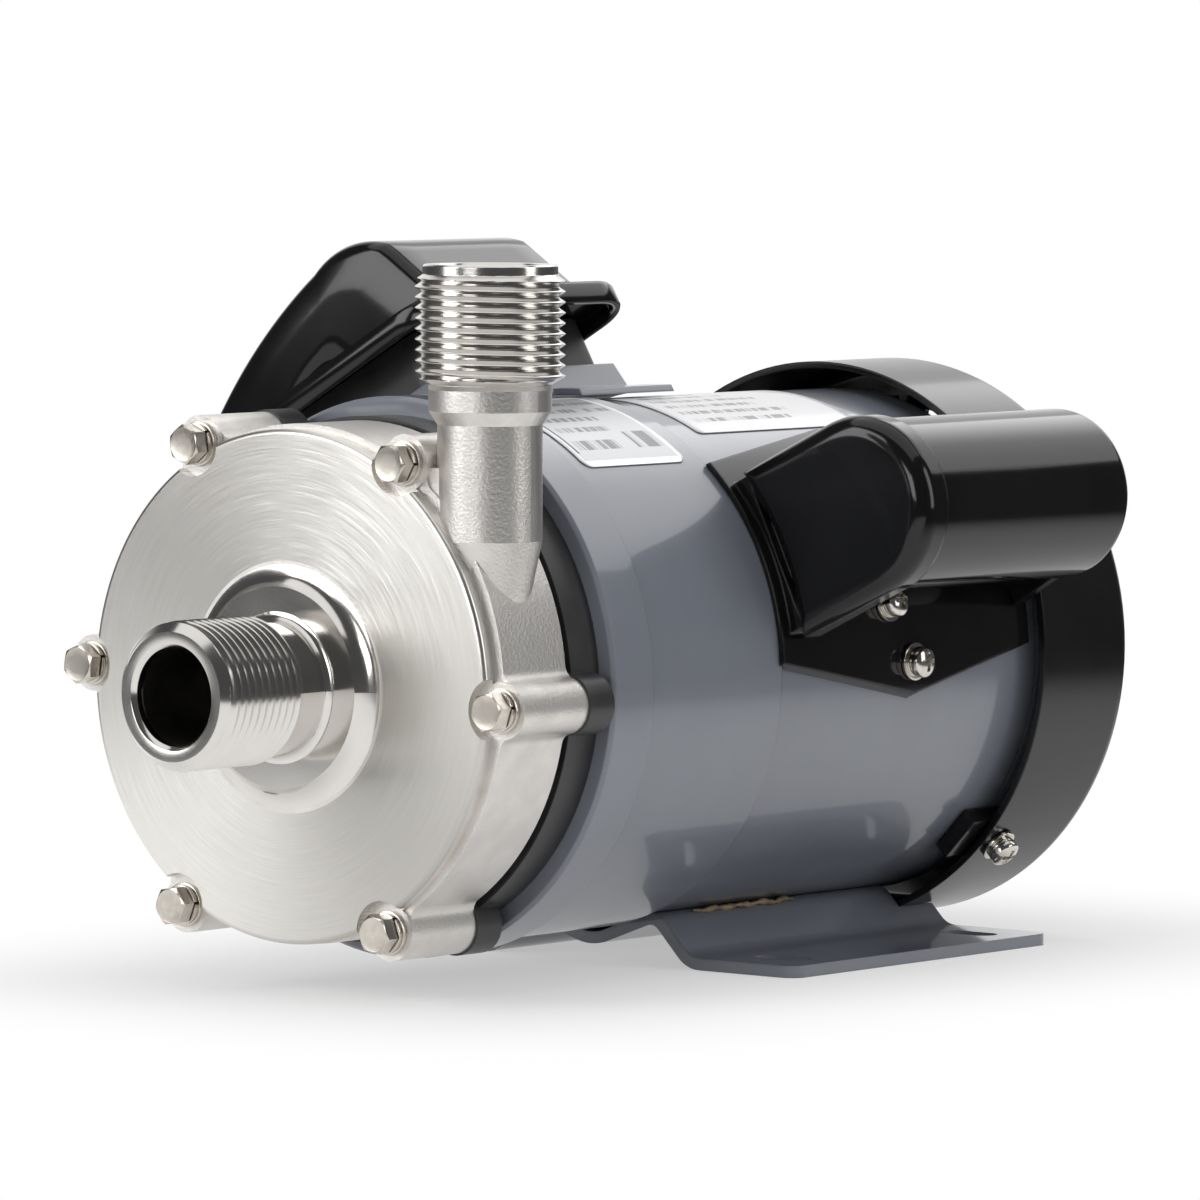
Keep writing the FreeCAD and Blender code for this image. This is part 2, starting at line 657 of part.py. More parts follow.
def make_pump_casing():
    """The cast stainless casing: face plate, threaded inlet and outlet, bosses and volute."""
    thread_end = S.InletThread - S.InletReach
    shell = turned("CasingShell", [
        (-S.InletReach, 0), (-S.InletReach, S.MouthRadius),
        (S.ThreadLead - S.InletReach, S.ThreadRadius), (thread_end, S.ThreadRadius),
        (thread_end + 1.0, S.NeckRadius), (-(S.HubRise + S.NeckFillet), S.NeckRadius, -S.NeckFillet),
        (-S.HubRise, S.NeckRadius + S.NeckFillet), (-S.HubRise, S.HubRingRadius, -S.HubRise * 2),
        (0, S.HubRadius), (0, S.CasingRadius - S.FaceRounding, S.FaceRounding),
        (S.FaceRounding, S.CasingRadius), (S.CasingDepth, S.CasingRadius), (S.CasingDepth, 0)])
    hollow = turned("CasingHollow", [
        (-(S.InletReach + S.BoreChamfer), 0),
        (-(S.InletReach + S.BoreChamfer), S.InletBore + 2 * S.BoreChamfer),
        (S.BoreChamfer - S.InletReach, S.InletBore), (S.PlateThickness, S.InletBore),
        (S.PlateThickness, S.ChamberRadius), (FLANGE_SEAT, S.ChamberRadius),
        (FLANGE_SEAT, S.SealCircle - S.SealSection - 0.3),
        (FLANGE_SEAT - SEAL_DEPTH, S.SealCircle - S.SealSection - 0.3),
        (FLANGE_SEAT - SEAL_DEPTH, S.SealCircle + S.SealSection + 0.3),
        (FLANGE_SEAT, S.SealCircle + S.SealSection + 0.3),
        (FLANGE_SEAT, CAN_FLANGE + S.FixedGap), (S.CasingDepth + 1.0, CAN_FLANGE + S.FixedGap),
        (S.CasingDepth + 1.0, 0)])
    nozzle = place(turned("OutletNozzle", outlet_outline(), "XZ_Plane"), S.OutletSide, S.OutletBack)
    bore = place(turned("OutletWay", outlet_bore_outline(), "XZ_Plane"), S.OutletSide, S.OutletBack)
    web = block("OutletWeb", S.WebSide, 4.0, S.TaperTop - 4.0, S.OutletSide - S.WebSide,
                S.CasingDepth - 7.0, S.WebTop - S.TaperTop + 4.0)
    throat = block("OutletThroat", S.OutletSide - S.OutletBore - 3.0, S.OutletBack - S.ThroatDepth / 2, 2.0,
                   S.OutletBore + 4.5, S.ThroatDepth, S.ThroatHeight)
    volute = rod("VoluteSwelling", S.VoluteRadius, S.VoluteFront, S.CasingDepth - S.VoluteFront,
                 S.VoluteShift * cosine(S.VoluteAngle), S.VoluteShift * sine(S.VoluteAngle))
    bosses = casing_bosses("CasingBoss", S.BossRadius, S.SpotDepth, S.CasingDepth - S.SpotDepth)
    spots = casing_bosses("CasingSpot", S.SpotRadius, -1.0, S.SpotDepth + 1.0)
    holes = casing_bosses("CasingHole", S.BoltHole, 0, S.CasingDepth + 1.0)
    bossed = fuse("CasingBossed", [shell, volute] + bosses)
    solid = fuse("CasingSolid", [blend_bosses(bossed), nozzle, web])
    open_shell = cut("CasingOpen", solid, [hollow, bore, throat] + spots + holes)
    hub = rod("SpiderHub", S.SpiderRadius, SPIDER_BACK - S.SpiderLength, S.SpiderLength)
    ribs = []
    for number in range(3):
        rib = block("SpiderRib%d" % number, 0, SPIDER_BACK - S.SpiderLength, -S.SpiderRib / 2,
                    S.InletBore + 1.0, S.SpiderLength - SPIDER_BACK - 0.6, S.SpiderRib)
        ribs.append(turn(group("SpiderArm%d" % number, [rib]), 90 + 120.0 * number))
    seat = rod("SpiderSeat", S.PinRadius + S.FixedGap / 2, SPIDER_BACK - S.PinSeat, S.PinSeat + 1.0)
    spider = cut("CasingSpider", fuse("SpiderSolid", [hub] + ribs), [seat])
    finish(fuse("PumpCasing", [open_shell, spider]), "pump_casing")


def make_casing_fasteners():
    """Six hexagon bolts, each with a spring washer and a flat washer."""
    washer_front = S.SpotDepth - S.WasherThickness
    spring_front = washer_front - S.SpringThickness
    head_front = spring_front - S.BoltHead
    pieces = []
    for number, (across, up) in enumerate(bolt_places()):
        head = document.addObject("Part::Prism", "BoltHead%d" % number)
        head.Polygon = 6
        bind(head, "Circumradius", S.BoltFlats / math.sqrt(3))
        bind(head, "Height", S.BoltHead)
        pieces.append(place(head, across, head_front, up, ALONG_Y))
        pieces.append(rod("BoltShank%d" % number, S.BoltRadius, spring_front - 0.5,
                          S.BoltLength + 0.5, across, up))
    finish(fuse("CasingBolts", pieces), "casing_bolts")
    for name, label, radius, start, thickness in (
            ("CasingSpring", "casing_spring_washers", S.SpringRadius, spring_front,
             S.SpringThickness),
            ("CasingWasher", "casing_washers", S.WasherRadius, washer_front, S.WasherThickness)):
        discs = casing_bosses(name + "Disc", radius, start, thickness)
        holes = casing_bosses(name + "Hole", S.BoltRadius + 0.15, start - 1.0, thickness + 2.0)
        finish(cut(name + "s", group(name + "Discs", discs), holes), label)


def make_casing_seal():
    seal = document.addObject("Part::Torus", "CasingSeal")
    bind(seal, "Radius1", S.SealCircle)
    bind(seal, "Radius2", S.SealSection)
    place(seal, 0, FLANGE_SEAT - SEAL_DEPTH / 2, 0, ALONG_Y)
    finish(group("CasingSealRing", [seal]), "casing_o_ring")


def make_rear_casing():
    """The closed can that holds the liquid between the two magnets."""
    outer = S.CanBore + S.CanWall
    end = S.CanFloor + S.CanFloorThickness
    finish(turned("RearCasing", [
        (FLANGE_SEAT, S.CanBore), (FLANGE_SEAT, CAN_FLANGE), (S.CasingDepth, CAN_FLANGE),
        (S.CasingDepth, outer), (end, outer), (end, 0), (CAN_BOSS_FRONT + S.PinSeat, 0),
        (CAN_BOSS_FRONT + S.PinSeat, S.PinRadius + S.FixedGap / 2),
        (CAN_BOSS_FRONT, S.PinRadius + S.FixedGap / 2), (CAN_BOSS_FRONT, S.CanBossRadius),
        (S.CanFloor, S.CanBossRadius), (S.CanFloor, S.CanBore)]), "rear_casing")


def vane_outline():
    """One backward-curved vane, as (across, up) corners from its root out to the rim."""
    reach = S.ImpellerRadius - 0.4
    lean = 48.0
    root_low = (S.VaneRoot, 0)
    tip_low = (reach * cosine(lean), reach * sine(lean), -(S.VaneCurve + S.VaneThickness))
    tip_high = (reach * cosine(lean + 3.4), reach * sine(lean + 3.4))
    root_high = (S.VaneRoot, as_size(S.VaneThickness))
    return [(root_low[0], root_low[1], S.VaneCurve + S.VaneThickness), (tip_low[0], tip_low[1]),
            (tip_high[0], tip_high[1], -S.VaneCurve), root_high]


def make_impeller():
    """The closed impeller: two shrouds with curved vanes between them."""
    back = IMPELLER_BACK - S.BackThickness
    bore = S.BushRadius + S.FixedGap / 2
    body = document.addObject("PartDesign::Body", "Impeller")
    revolve(body, "BackShroud", [
        (bore, back - 5.0), (S.ImpellerHub, back - 5.0), (S.ImpellerHub + 2.5, back),
        (S.ImpellerRadius, back), (S.ImpellerRadius, IMPELLER_BACK), (bore, IMPELLER_BACK)])
    vane = pad(body, "Vane", vane_outline(), back - S.VaneDepth, S.VaneDepth + 0.5)
    document.recompute()
    vanes = body.newObject("PartDesign::PolarPattern", "Vanes")
    vanes.Originals = [vane]
    vanes.Axis = (origin_feature(body, "Y_Axis"), [""])
    vanes.Angle = 360
    bind(vanes, "Occurrences", S.VaneCount)
    body.Tip = vanes
    document.recompute()
    shroud_back = S.ImpellerFront + S.ShroudThickness
    revolve(body, "FrontShroud", [
        (S.EyeRadius, S.ImpellerFront), (S.ImpellerRadius, S.ImpellerFront),
        (S.ImpellerRadius, shroud_back + 0.3), (S.EyeRadius, shroud_back + 0.3)])
    finish(body, "impeller")


def make_driven_magnet():
    """The magnet inside its capsule on the back of the impeller, and the bush they run on."""
    bore = S.BushRadius + S.FixedGap / 2
    wall = S.CapsuleWall
    capsule = ring("Capsule", bore, S.CapsuleRadius, IMPELLER_BACK, BUSH_END - IMPELLER_BACK)
    cavity = ring("CapsuleCavity", S.DrivenBore - 0.05, S.CapsuleRadius - wall, IMPELLER_BACK + wall,
                  BUSH_END - IMPELLER_BACK - 2 * wall)
    finish(cut("MagnetCapsule", capsule, [cavity]), "magnet_capsule")
    finish(ring("DrivenMagnet", S.DrivenBore, S.CapsuleRadius - wall - 0.05, IMPELLER_BACK + wall,
                BUSH_END - IMPELLER_BACK - 2 * wall), "driven_magnet")
    finish(ring("ImpellerBush", S.PinRadius + S.RunningGap, S.BushRadius, S.ImpellerFront,
                BUSH_END - S.ImpellerFront), "impeller_bush")


def make_impeller_shaft():
    start = SPIDER_BACK - S.PinSeat
    shaft = rod("PinShaft", S.PinRadius, start, CAN_BOSS_FRONT + S.PinSeat - start)
    finish(group("ImpellerShaft", [shaft]), "impeller_shaft")
    bore = S.PinRadius + S.FixedGap / 2
    finish(ring("FrontThrustRing", bore, S.ThrustRadius, SPIDER_BACK, S.ThrustThickness),
           "front_thrust_ring")
    finish(ring("RearThrustRing", bore, S.ThrustRadius, CAN_BOSS_FRONT - S.ThrustThickness,
                S.ThrustThickness), "rear_thrust_ring")


def bracket_screw_places():
    return [on_circle(number, 4, 45.0, S.ScrewCircle) for number in range(4)]


def make_clamp_bracket():
    """The black ring whose ears take the casing bolts."""
    solid = turned("BracketRing", [
        (S.CasingDepth, S.BracketBore), (S.CasingDepth, STEP_RADIUS),
        (S.CasingDepth + S.BracketStep, STEP_RADIUS), (S.CasingDepth + S.BracketStep, BRACKET_RADIUS),
        (BELL_FRONT, BRACKET_RADIUS), (BELL_FRONT, S.BracketBore)])
    ears = casing_bosses("BracketEar", S.EarRadius, S.CasingDepth, S.EarThickness)
    taps = casing_bosses("BracketTap", S.BoltRadius + S.FixedGap, S.CasingDepth - 1.0,
                         S.BracketDepth - 1.0)
    sinks = []
    for number, (across, up) in enumerate(bracket_screw_places()):
        sinks.append(rod("BracketSink%d" % number, S.ScrewRadius * 2 + 0.3, S.CasingDepth - 1.0, 7.0,
                         across, up))
        sinks.append(rod("BracketHole%d" % number, S.ScrewRadius + S.FixedGap, S.CasingDepth,
                         S.BracketDepth + 1.0, across, up))
    finish(cut("ClampBracket", fuse("BracketSolid", [solid] + ears), taps + sinks), "clamp_bracket")
    pieces = []
    for number, (across, up) in enumerate(bracket_screw_places()):
        pieces.append(rod("BracketScrewHead%d" % number, S.ScrewRadius * 2, S.CasingDepth + 1.5, 4.5,
                          across, up))
        pieces.append(rod("BracketScrewShank%d" % number, S.ScrewRadius, S.CasingDepth + 5.0,
                          S.BracketDepth - 2.0, across, up))
    finish(fuse("BracketScrews", pieces), "bracket_screws")


def make_drive_magnet():
    """The magnet cup on the motor shaft."""
    outer = DRIVE_SEAT + S.DriveWall
    magnet_front = DRIVE_FLOOR - 2.0 - S.DriveMagnetLength
    boss_start = DRIVE_FLOOR + S.DriveFloor
    finish(turned("DriveHub", [
        (magnet_front, DRIVE_SEAT), (magnet_front, outer), (boss_start - 2.0, outer),
        (boss_start, outer - 2.0), (boss_start, S.DriveBoss), (DRIVE_END, S.DriveBoss),
        (DRIVE_END, S.ShaftRadius + S.FixedGap / 2), (DRIVE_FLOOR, S.ShaftRadius + S.FixedGap / 2),
        (DRIVE_FLOOR, DRIVE_SEAT)]), "drive_hub")
    whole = ring("DriveMagnetRing", DRIVE_BORE, DRIVE_SEAT - S.FixedGap / 2, magnet_front + 0.5,
                 S.DriveMagnetLength)
    slots = []
    for number in range(4):
        slot = block("MagnetSlot%d" % number, -(DRIVE_SEAT + 1.0), magnet_front - 1.0,
                     -S.MagnetSlot / 2, 2 * DRIVE_SEAT + 2.0, S.DriveMagnetLength + 4.0, S.MagnetSlot)
        slots.append(turn(group("MagnetGap%d" % number, [slot]), 22.5 + 45.0 * number))
    finish(cut("DriveMagnets", whole, slots), "drive_magnets")


def make_front_bell():
    """The grey cast housing between bracket and motor tube, with the front bearing seat."""
    end = S.BellEnd
    spigot = S.MotorRadius - S.MotorWall - S.FixedGap
    seat_outer = S.BearingRadius + S.SeatWall
    inner = S.BellRadius - S.BellWall
    rim_end = BELL_FRONT + S.RimLength
    solid = turned("BellTurn", [
        (BELL_FRONT, S.BracketBore), (BELL_FRONT, S.RimRadius - 0.8), (BELL_FRONT + 0.8, S.RimRadius),
        (rim_end, S.RimRadius), (rim_end + 1.2, S.BellRadius), (end, S.BellRadius), (end, spigot),
        (end + S.SpigotLength, spigot), (end + S.SpigotLength, spigot - S.SpigotWall),
        (end, spigot - S.SpigotWall), (end, seat_outer),
        (FRONT_BEARING + S.BearingWidth, seat_outer),
        (FRONT_BEARING + S.BearingWidth, S.BearingRadius), (FRONT_BEARING, S.BearingRadius),
        (FRONT_BEARING, S.LipHole), (FRONT_BEARING - S.BearingLip, S.LipHole),
        (FRONT_BEARING - S.BearingLip, seat_outer), (end - S.BellFloor, seat_outer),
        (end - S.BellFloor, inner), (BELL_FRONT + 6.0, inner), (BELL_FRONT + 6.0, S.BracketBore)])
    taps = [rod("BellTap%d" % number, S.ScrewRadius + S.FixedGap, BELL_FRONT - 1.0, 5.0, across, up)
            for number, (across, up) in enumerate(bracket_screw_places())]
    finish(cut("FrontBell", solid, taps), "front_bell")


def make_motor_tube():
    finish(ring("MotorTube", S.MotorRadius - S.MotorWall, S.MotorRadius, S.BellEnd,
                S.MotorEnd - S.BellEnd), "motor_tube")


def make_stator():
    outer = S.MotorRadius - S.MotorWall - S.FixedGap
    finish(ring("StatorCore", S.StatorBore, outer, S.StatorFront, S.StatorLength), "stator_core")
    front = ring("FrontWinding", S.WindingInner, S.WindingOuter, S.StatorFront - S.WindingDepth,
                 S.WindingDepth)
    rear = ring("RearWinding", S.WindingInner, S.WindingOuter, S.StatorFront + S.StatorLength,
                S.WindingDepth)
    finish(group("StatorWindings", [front, rear]), "stator_windings")


def make_rotor():
    """The squirrel-cage core and the shaft that carries it, the drive magnet and the fan."""
    outer = S.StatorBore - S.RotorGap
    start = S.StatorFront
    end = S.StatorFront + S.StatorLength
    bore = S.ShoulderRadius + S.FixedGap / 2
    finish(turned("RotorCore", [
        (start - S.EndRingDepth, outer - 1.0 - S.EndRingWidth), (start - S.EndRingDepth, outer - 1.0),
        (start, outer - 1.0), (start, outer), (end, outer), (end, outer - 1.0),
        (end + S.EndRingDepth, outer - 1.0), (end + S.EndRingDepth, outer - 1.0 - S.EndRingWidth),
        (end, outer - 1.0 - S.EndRingWidth), (end, bore), (start, bore), (start, outer - 1.0 - S.EndRingWidth)]), "rotor_core")
    shaft_end = FAN_FRONT + S.FanHubLength + 2.0
    finish(turned("MotorShaft", [
        (DRIVE_FLOOR + 0.5, 0), (DRIVE_FLOOR + 0.5, S.ShaftRadius),
        (FRONT_BEARING + S.BearingWidth, S.ShaftRadius),
        (FRONT_BEARING + S.BearingWidth, S.ShoulderRadius), (REAR_BEARING, S.ShoulderRadius),
        (REAR_BEARING, S.ShaftRadius), (shaft_end - 1.0, S.ShaftRadius),
        (shaft_end, S.ShaftRadius - 1.0), (shaft_end, 0)]), "motor_shaft")


def make_bearing(side, start):
    """One ball bearing: outer ring, inner ring and balls."""
    outer_bore = S.BearingRadius - S.BearingRing
    inner_land = S.ShaftRadius + S.BearingRing
    middle = (outer_bore + inner_land) / 2
    finish(ring(side + "OuterRing", outer_bore, S.BearingRadius - S.FixedGap / 2, start,
                S.BearingWidth), side.lower() + "_bearing_outer_ring")
    finish(ring(side + "InnerRing", S.ShaftRadius + S.FixedGap / 2, inner_land, start,
                S.BearingWidth), side.lower() + "_bearing_inner_ring")
    balls = []
    for number in range(7):
        ball = document.addObject("Part::Sphere", "%sBall%d" % (side, number))
        bind(ball, "Radius", S.BallRadius)
        across, up = on_circle(number, 7, 90.0, middle)
        balls.append(place(ball, across, start + S.BearingWidth / 2, up))
    finish(group(side + "Balls", balls), side.lower() + "_bearing_balls")


def make_rear_shield():
    """The end shield with the rear bearing seat, and the wave spring that loads the bearing."""
    spigot = S.MotorRadius - S.MotorWall - S.FixedGap
    seat_outer = S.BearingRadius + S.SeatWall
    start = S.MotorEnd
    end = S.MotorEnd + S.ShieldThickness
    lip_end = REAR_LIP + S.BearingLip
    finish(turned("RearShield", [
        (start - S.SpigotLength, spigot - S.SpigotWall), (start - S.SpigotLength, spigot),
        (start, spigot), (start, S.MotorRadius), (end - 1.5, S.MotorRadius),
        (end, S.MotorRadius - 1.5), (end, seat_outer + 2.0), (lip_end, seat_outer),
        (lip_end, S.LipHole), (REAR_LIP, S.LipHole), (REAR_LIP, S.BearingRadius),
        (REAR_BEARING, S.BearingRadius), (REAR_BEARING, seat_outer), (start, seat_outer),
        (start, spigot - S.SpigotWall)]), "rear_end_shield")
    finish(ring("WaveSpring", S.BearingRadius - S.BearingRing, S.BearingRadius - 0.3,
                REAR_BEARING + S.BearingWidth, S.WaveThickness), "wave_spring")


def make_fan():
    """The cooling fan: hub, disc and straight blades."""
    bore = S.ShaftRadius + S.FixedGap / 2
    disc = FAN_FRONT + 1.0
    disc_end = disc + S.FanDiscThickness
    hub_end = FAN_FRONT + S.FanHubLength
    solid = turned("FanTurn", [
        (FAN_FRONT, bore), (FAN_FRONT, S.FanHub), (disc, S.FanHub), (disc, S.FanDisc),
        (disc_end, S.FanDisc), (disc_end, S.FanHub), (hub_end, S.FanHub), (hub_end, bore)])
    blades = []
    for number in range(8):
        blade = block("FanBlade%d" % number, S.FanHub - 1.0, disc + 0.5, -S.BladeThickness / 2,
                      S.FanRadius - S.FanHub + 1.0, S.BladeDepth, S.BladeThickness)
        blades.append(turn(group("FanArm%d" % number, [blade]), 45.0 * number))
    finish(fuse("CoolingFan", [solid] + blades), "cooling_fan")


def lug_turns():
    return [S.LugTurn + 90.0 * number for number in range(4)]


def lug_copies(name, make):
    """Four copies of a piece drawn across, turned to the places of the cover screws."""
    return [turn(group("%sPlace%d" % (name, number), [make("%s%d" % (name, number))]), angle)
            for number, angle in enumerate(lug_turns())]


def make_fan_cover():
    """The black cup over the fan, with a grille in its back and screws in its side."""
    inner = S.CoverRadius - S.CoverWall
    back = COVER_END - S.CoverWall
    rounding = S.CoverRounding
    tight = S.CoverRounding - S.CoverWall
    solid = turned("CoverTurn", [
        (S.CoverFront, inner), (S.CoverFront, S.CoverRadius),
        (COVER_END - rounding, S.CoverRadius, rounding), (COVER_END, S.CoverRadius - rounding),
        (COVER_END, 0), (back, 0), (back, inner - tight, -tight), (back - tight, inner)])
    slots = []
    for number in range(20):
        slot = block("GrilleSlot%d" % number, S.GrilleInner + 8.0 * (number % 2), COVER_END - 4.0,
                     -S.GrilleWidth / 2, S.GrilleOuter - S.GrilleInner - 8.0 * (number % 2), 6.0,
                     S.GrilleWidth)
        slots.append(turn(group("GrilleWay%d" % number, [slot]), 18.0 * number + 9.0))
    screw_level = S.CoverFront + S.LugScrew
    holes = lug_copies("CoverHole", lambda name: stud(
        name, S.PanHole, inner - 2.0, S.CoverWall + 4.0, screw_level))
    finish(cut("FanCover", solid, slots + holes), "fan_cover")


def make_cover_fixings():
    """Four lugs between motor and fan cover, each with its screw and washers."""
    level = S.CoverFront + S.LugScrew
    lug_foot = S.MotorRadius + 0.3
    seat = S.CoverRadius + 0.1
    lugs = lug_copies("Lug", lambda name: block(
        name, lug_foot, level + 5.0 - S.LugLength, -S.LugWidth / 2, S.LugThickness, S.LugLength,
        S.LugWidth))
    taps = lug_copies("LugTap", lambda name: stud(name, S.PanRadius + 0.1, lug_foot - 1.0,
                                                  S.LugThickness + 2.0, level))
    finish(cut("FanCoverLugs", group("LugGroup", lugs), taps), "fan_cover_lugs")
    add_pan_screws("Cover", "fan_cover", [(angle, level) for angle in lug_turns()], seat,
                   seat - lug_foot - 0.2, None)


def add_pan_screws(name, label, places, seat, depth, angle):
    """Pan head screws with spring and flat washers, at (turn, length) places on a seat radius."""
    washer = S.PanWasherThickness
    spring = S.PanSpringThickness
    screws = []
    washers = []
    bores = []
    for number, (where, level) in enumerate(places):
        key = "%s%d" % (name, number)
        head = stud(key + "Head", S.PanHead, seat + washer + spring, S.PanHeight, level)
        shank = stud(key + "Shank", S.PanRadius, seat - depth, depth + washer + spring + 1.0, level)
        screws.append(turn(fuse(key + "Screw", [head, shank]), where))
        flat = stud(key + "Flat", S.PanWasher, seat, washer, level)
        split = stud(key + "Split", S.PanSpring, seat + washer, spring, level)
        washers.append(turn(fuse(key + "Washers", [flat, split]), where))
        bore = stud(key + "Bore", S.PanRadius + 0.1, seat - 1.0, washer + spring + 2.0, level)
        bores.append(turn(group(key + "BoreTurn", [bore]), where))
    finish(group(name + "Screws", screws), label + "_screws", angle)
    finish(cut(name + "WasherSet", group(name + "WasherGroup", washers), bores),
           label + "_washers", angle)


def bent_line(points, radii):
    """Edges through the points, with an arc of the given radius at each inner point."""
    edges = []
    start = points[0]
    for index in range(1, len(points) - 1):
        before = (points[index - 1] - points[index]).normalize()
        after = (points[index + 1] - points[index]).normalize()
        half = before.getAngle(after) / 2
        reach = radii[index - 1] / math.tan(half)
        leave = points[index] + before * reach
        enter = points[index] + after * reach
        middle_way = (before + after).normalize()
        middle = points[index] + middle_way * (radii[index - 1] / math.sin(half) - radii[index - 1])
        edges.append(Part.makeLine(start, leave))
        edges.append(Part.Arc(leave, middle, enter).toShape())
        start = enter
    edges.append(Part.makeLine(start, points[-1]))
    return edges, start


def sheet_side(points, radii, shift):
    """The bent line of one face of a sheet, shift away from its middle line."""
    moved = []
    ways = [(points[i + 1] - points[i]).normalize() for i in range(len(points) - 1)]
    normals = [Vector(-way.z, 0, way.x) for way in ways]
    moved.append(points[0] + normals[0] * shift)
    bends = []
    for index in range(1, len(points) - 1):
        first = normals[index - 1]
        second = normals[index]
        share = shift / (1 + first.dot(second))
        moved.append(points[index] + (first + second) * share)
        turning = ways[index - 1].cross(ways[index]).y
        bends.append(radii[index - 1] + (shift if turning > 0 else -shift))
    moved.append(points[-1] + normals[-1] * shift)
    return moved, bends


def make_foot_plate():
    """The pressed foot: two slotted flanges and ridges that carry the motor tube."""
    half = S.FootThickness.value / 2
    floor = half - S.AxisHeight.value
    reach = S.MotorRadius.value + S.FixedGap.value
    ridge_side = S.RidgeSide.value
    bend = S.FootBend.value + half
    ridge = -math.sqrt(reach ** 2 - ridge_side ** 2) - half + 0.55
    dip = -S.MotorRadius.value - S.DipDepth.value - half
    right = [(0, dip), (ridge_side, ridge), (S.FlangeBend.value, floor), (S.FootWidth.value / 2, floor)]
    line = [Vector(-x, 0, z) for x, z in reversed(right[1:])] + [Vector(x, 0, z) for x, z in right]
    radii = [bend * 1.6, bend, bend * 3, bend, bend * 1.6]
    top, top_bends = sheet_side(line, radii, half)
    under, under_bends = sheet_side(line, radii, -half)
    top_edges = bent_line(top, top_bends)[0]
    under_edges = bent_line(under, under_bends)[0]
    ends = [Part.makeLine(top[0], under[0]), Part.makeLine(top[-1], under[-1])]
    outline = Part.Wire(Part.__sortEdges__(top_edges + under_edges + ends))
    start = Vector(0, S.FootMiddle.value - S.FootLength.value / 2, 0)
    strip = Part.Face(outline).extrude(Vector(0, S.FootLength.value, 0))
    corners = [edge for edge in strip.Edges if abs(edge.Length - 2 * half) < 1e-6
               and abs(abs(edge.CenterOfMass.x) - S.FootWidth.value / 2) < 1e-6]
    pressed = document.addObject("Part::Feature", "FootStrip")
    pressed.Shape = strip.makeFillet(4.0, corners).translated(start)
    slots = []
    for side in (-1, 1):
        for back in (-1, 1):
            key = "%d%d" % (side + 1, back + 1)
            across = side * S.SlotAcross / 2
            along = S.FootMiddle + back * S.SlotAlong / 2
            floor_level = -S.AxisHeight - 1.0
            height = S.FootThickness + 2.0
            slots.append(block("SlotBox" + key, across - S.SlotStraight / 2, along - S.SlotRadius,
                               floor_level, S.SlotStraight, 2 * S.SlotRadius, height))
            for end in (-1, 1):
                slots.append(post("SlotEnd%s%d" % (key, end + 1), S.SlotRadius, floor_level, height,
                                  across + end * S.SlotStraight / 2, along))
    foot_front = S.FootMiddle - S.FootLength / 2 - 1.0
    cover_relief = S.CoverFront - 0.4
    seats = [rod("FootSeat", S.MotorRadius + S.FixedGap, foot_front, S.FootLength + 2.0),
             rod("FootCoverRelief", S.CoverRadius + 0.15, cover_relief,
                 foot_front + S.FootLength + 2.0 - cover_relief)]
    finish(cut("FootPlate", pressed, slots + seats), "foot_plate")


def housing_block_outline():
    """The front block of the capacitor housing, hollowed to the motor and round at the can."""
    radius = S.BlockRadius
    corner = root(S.BlockInner * S.BlockInner - radius * radius)
    return [(corner, -radius), (S.CanOffset, -radius, radius), (S.CanOffset + radius, 0, radius),
            (S.CanOffset, radius), (corner, radius, -S.BlockInner)]


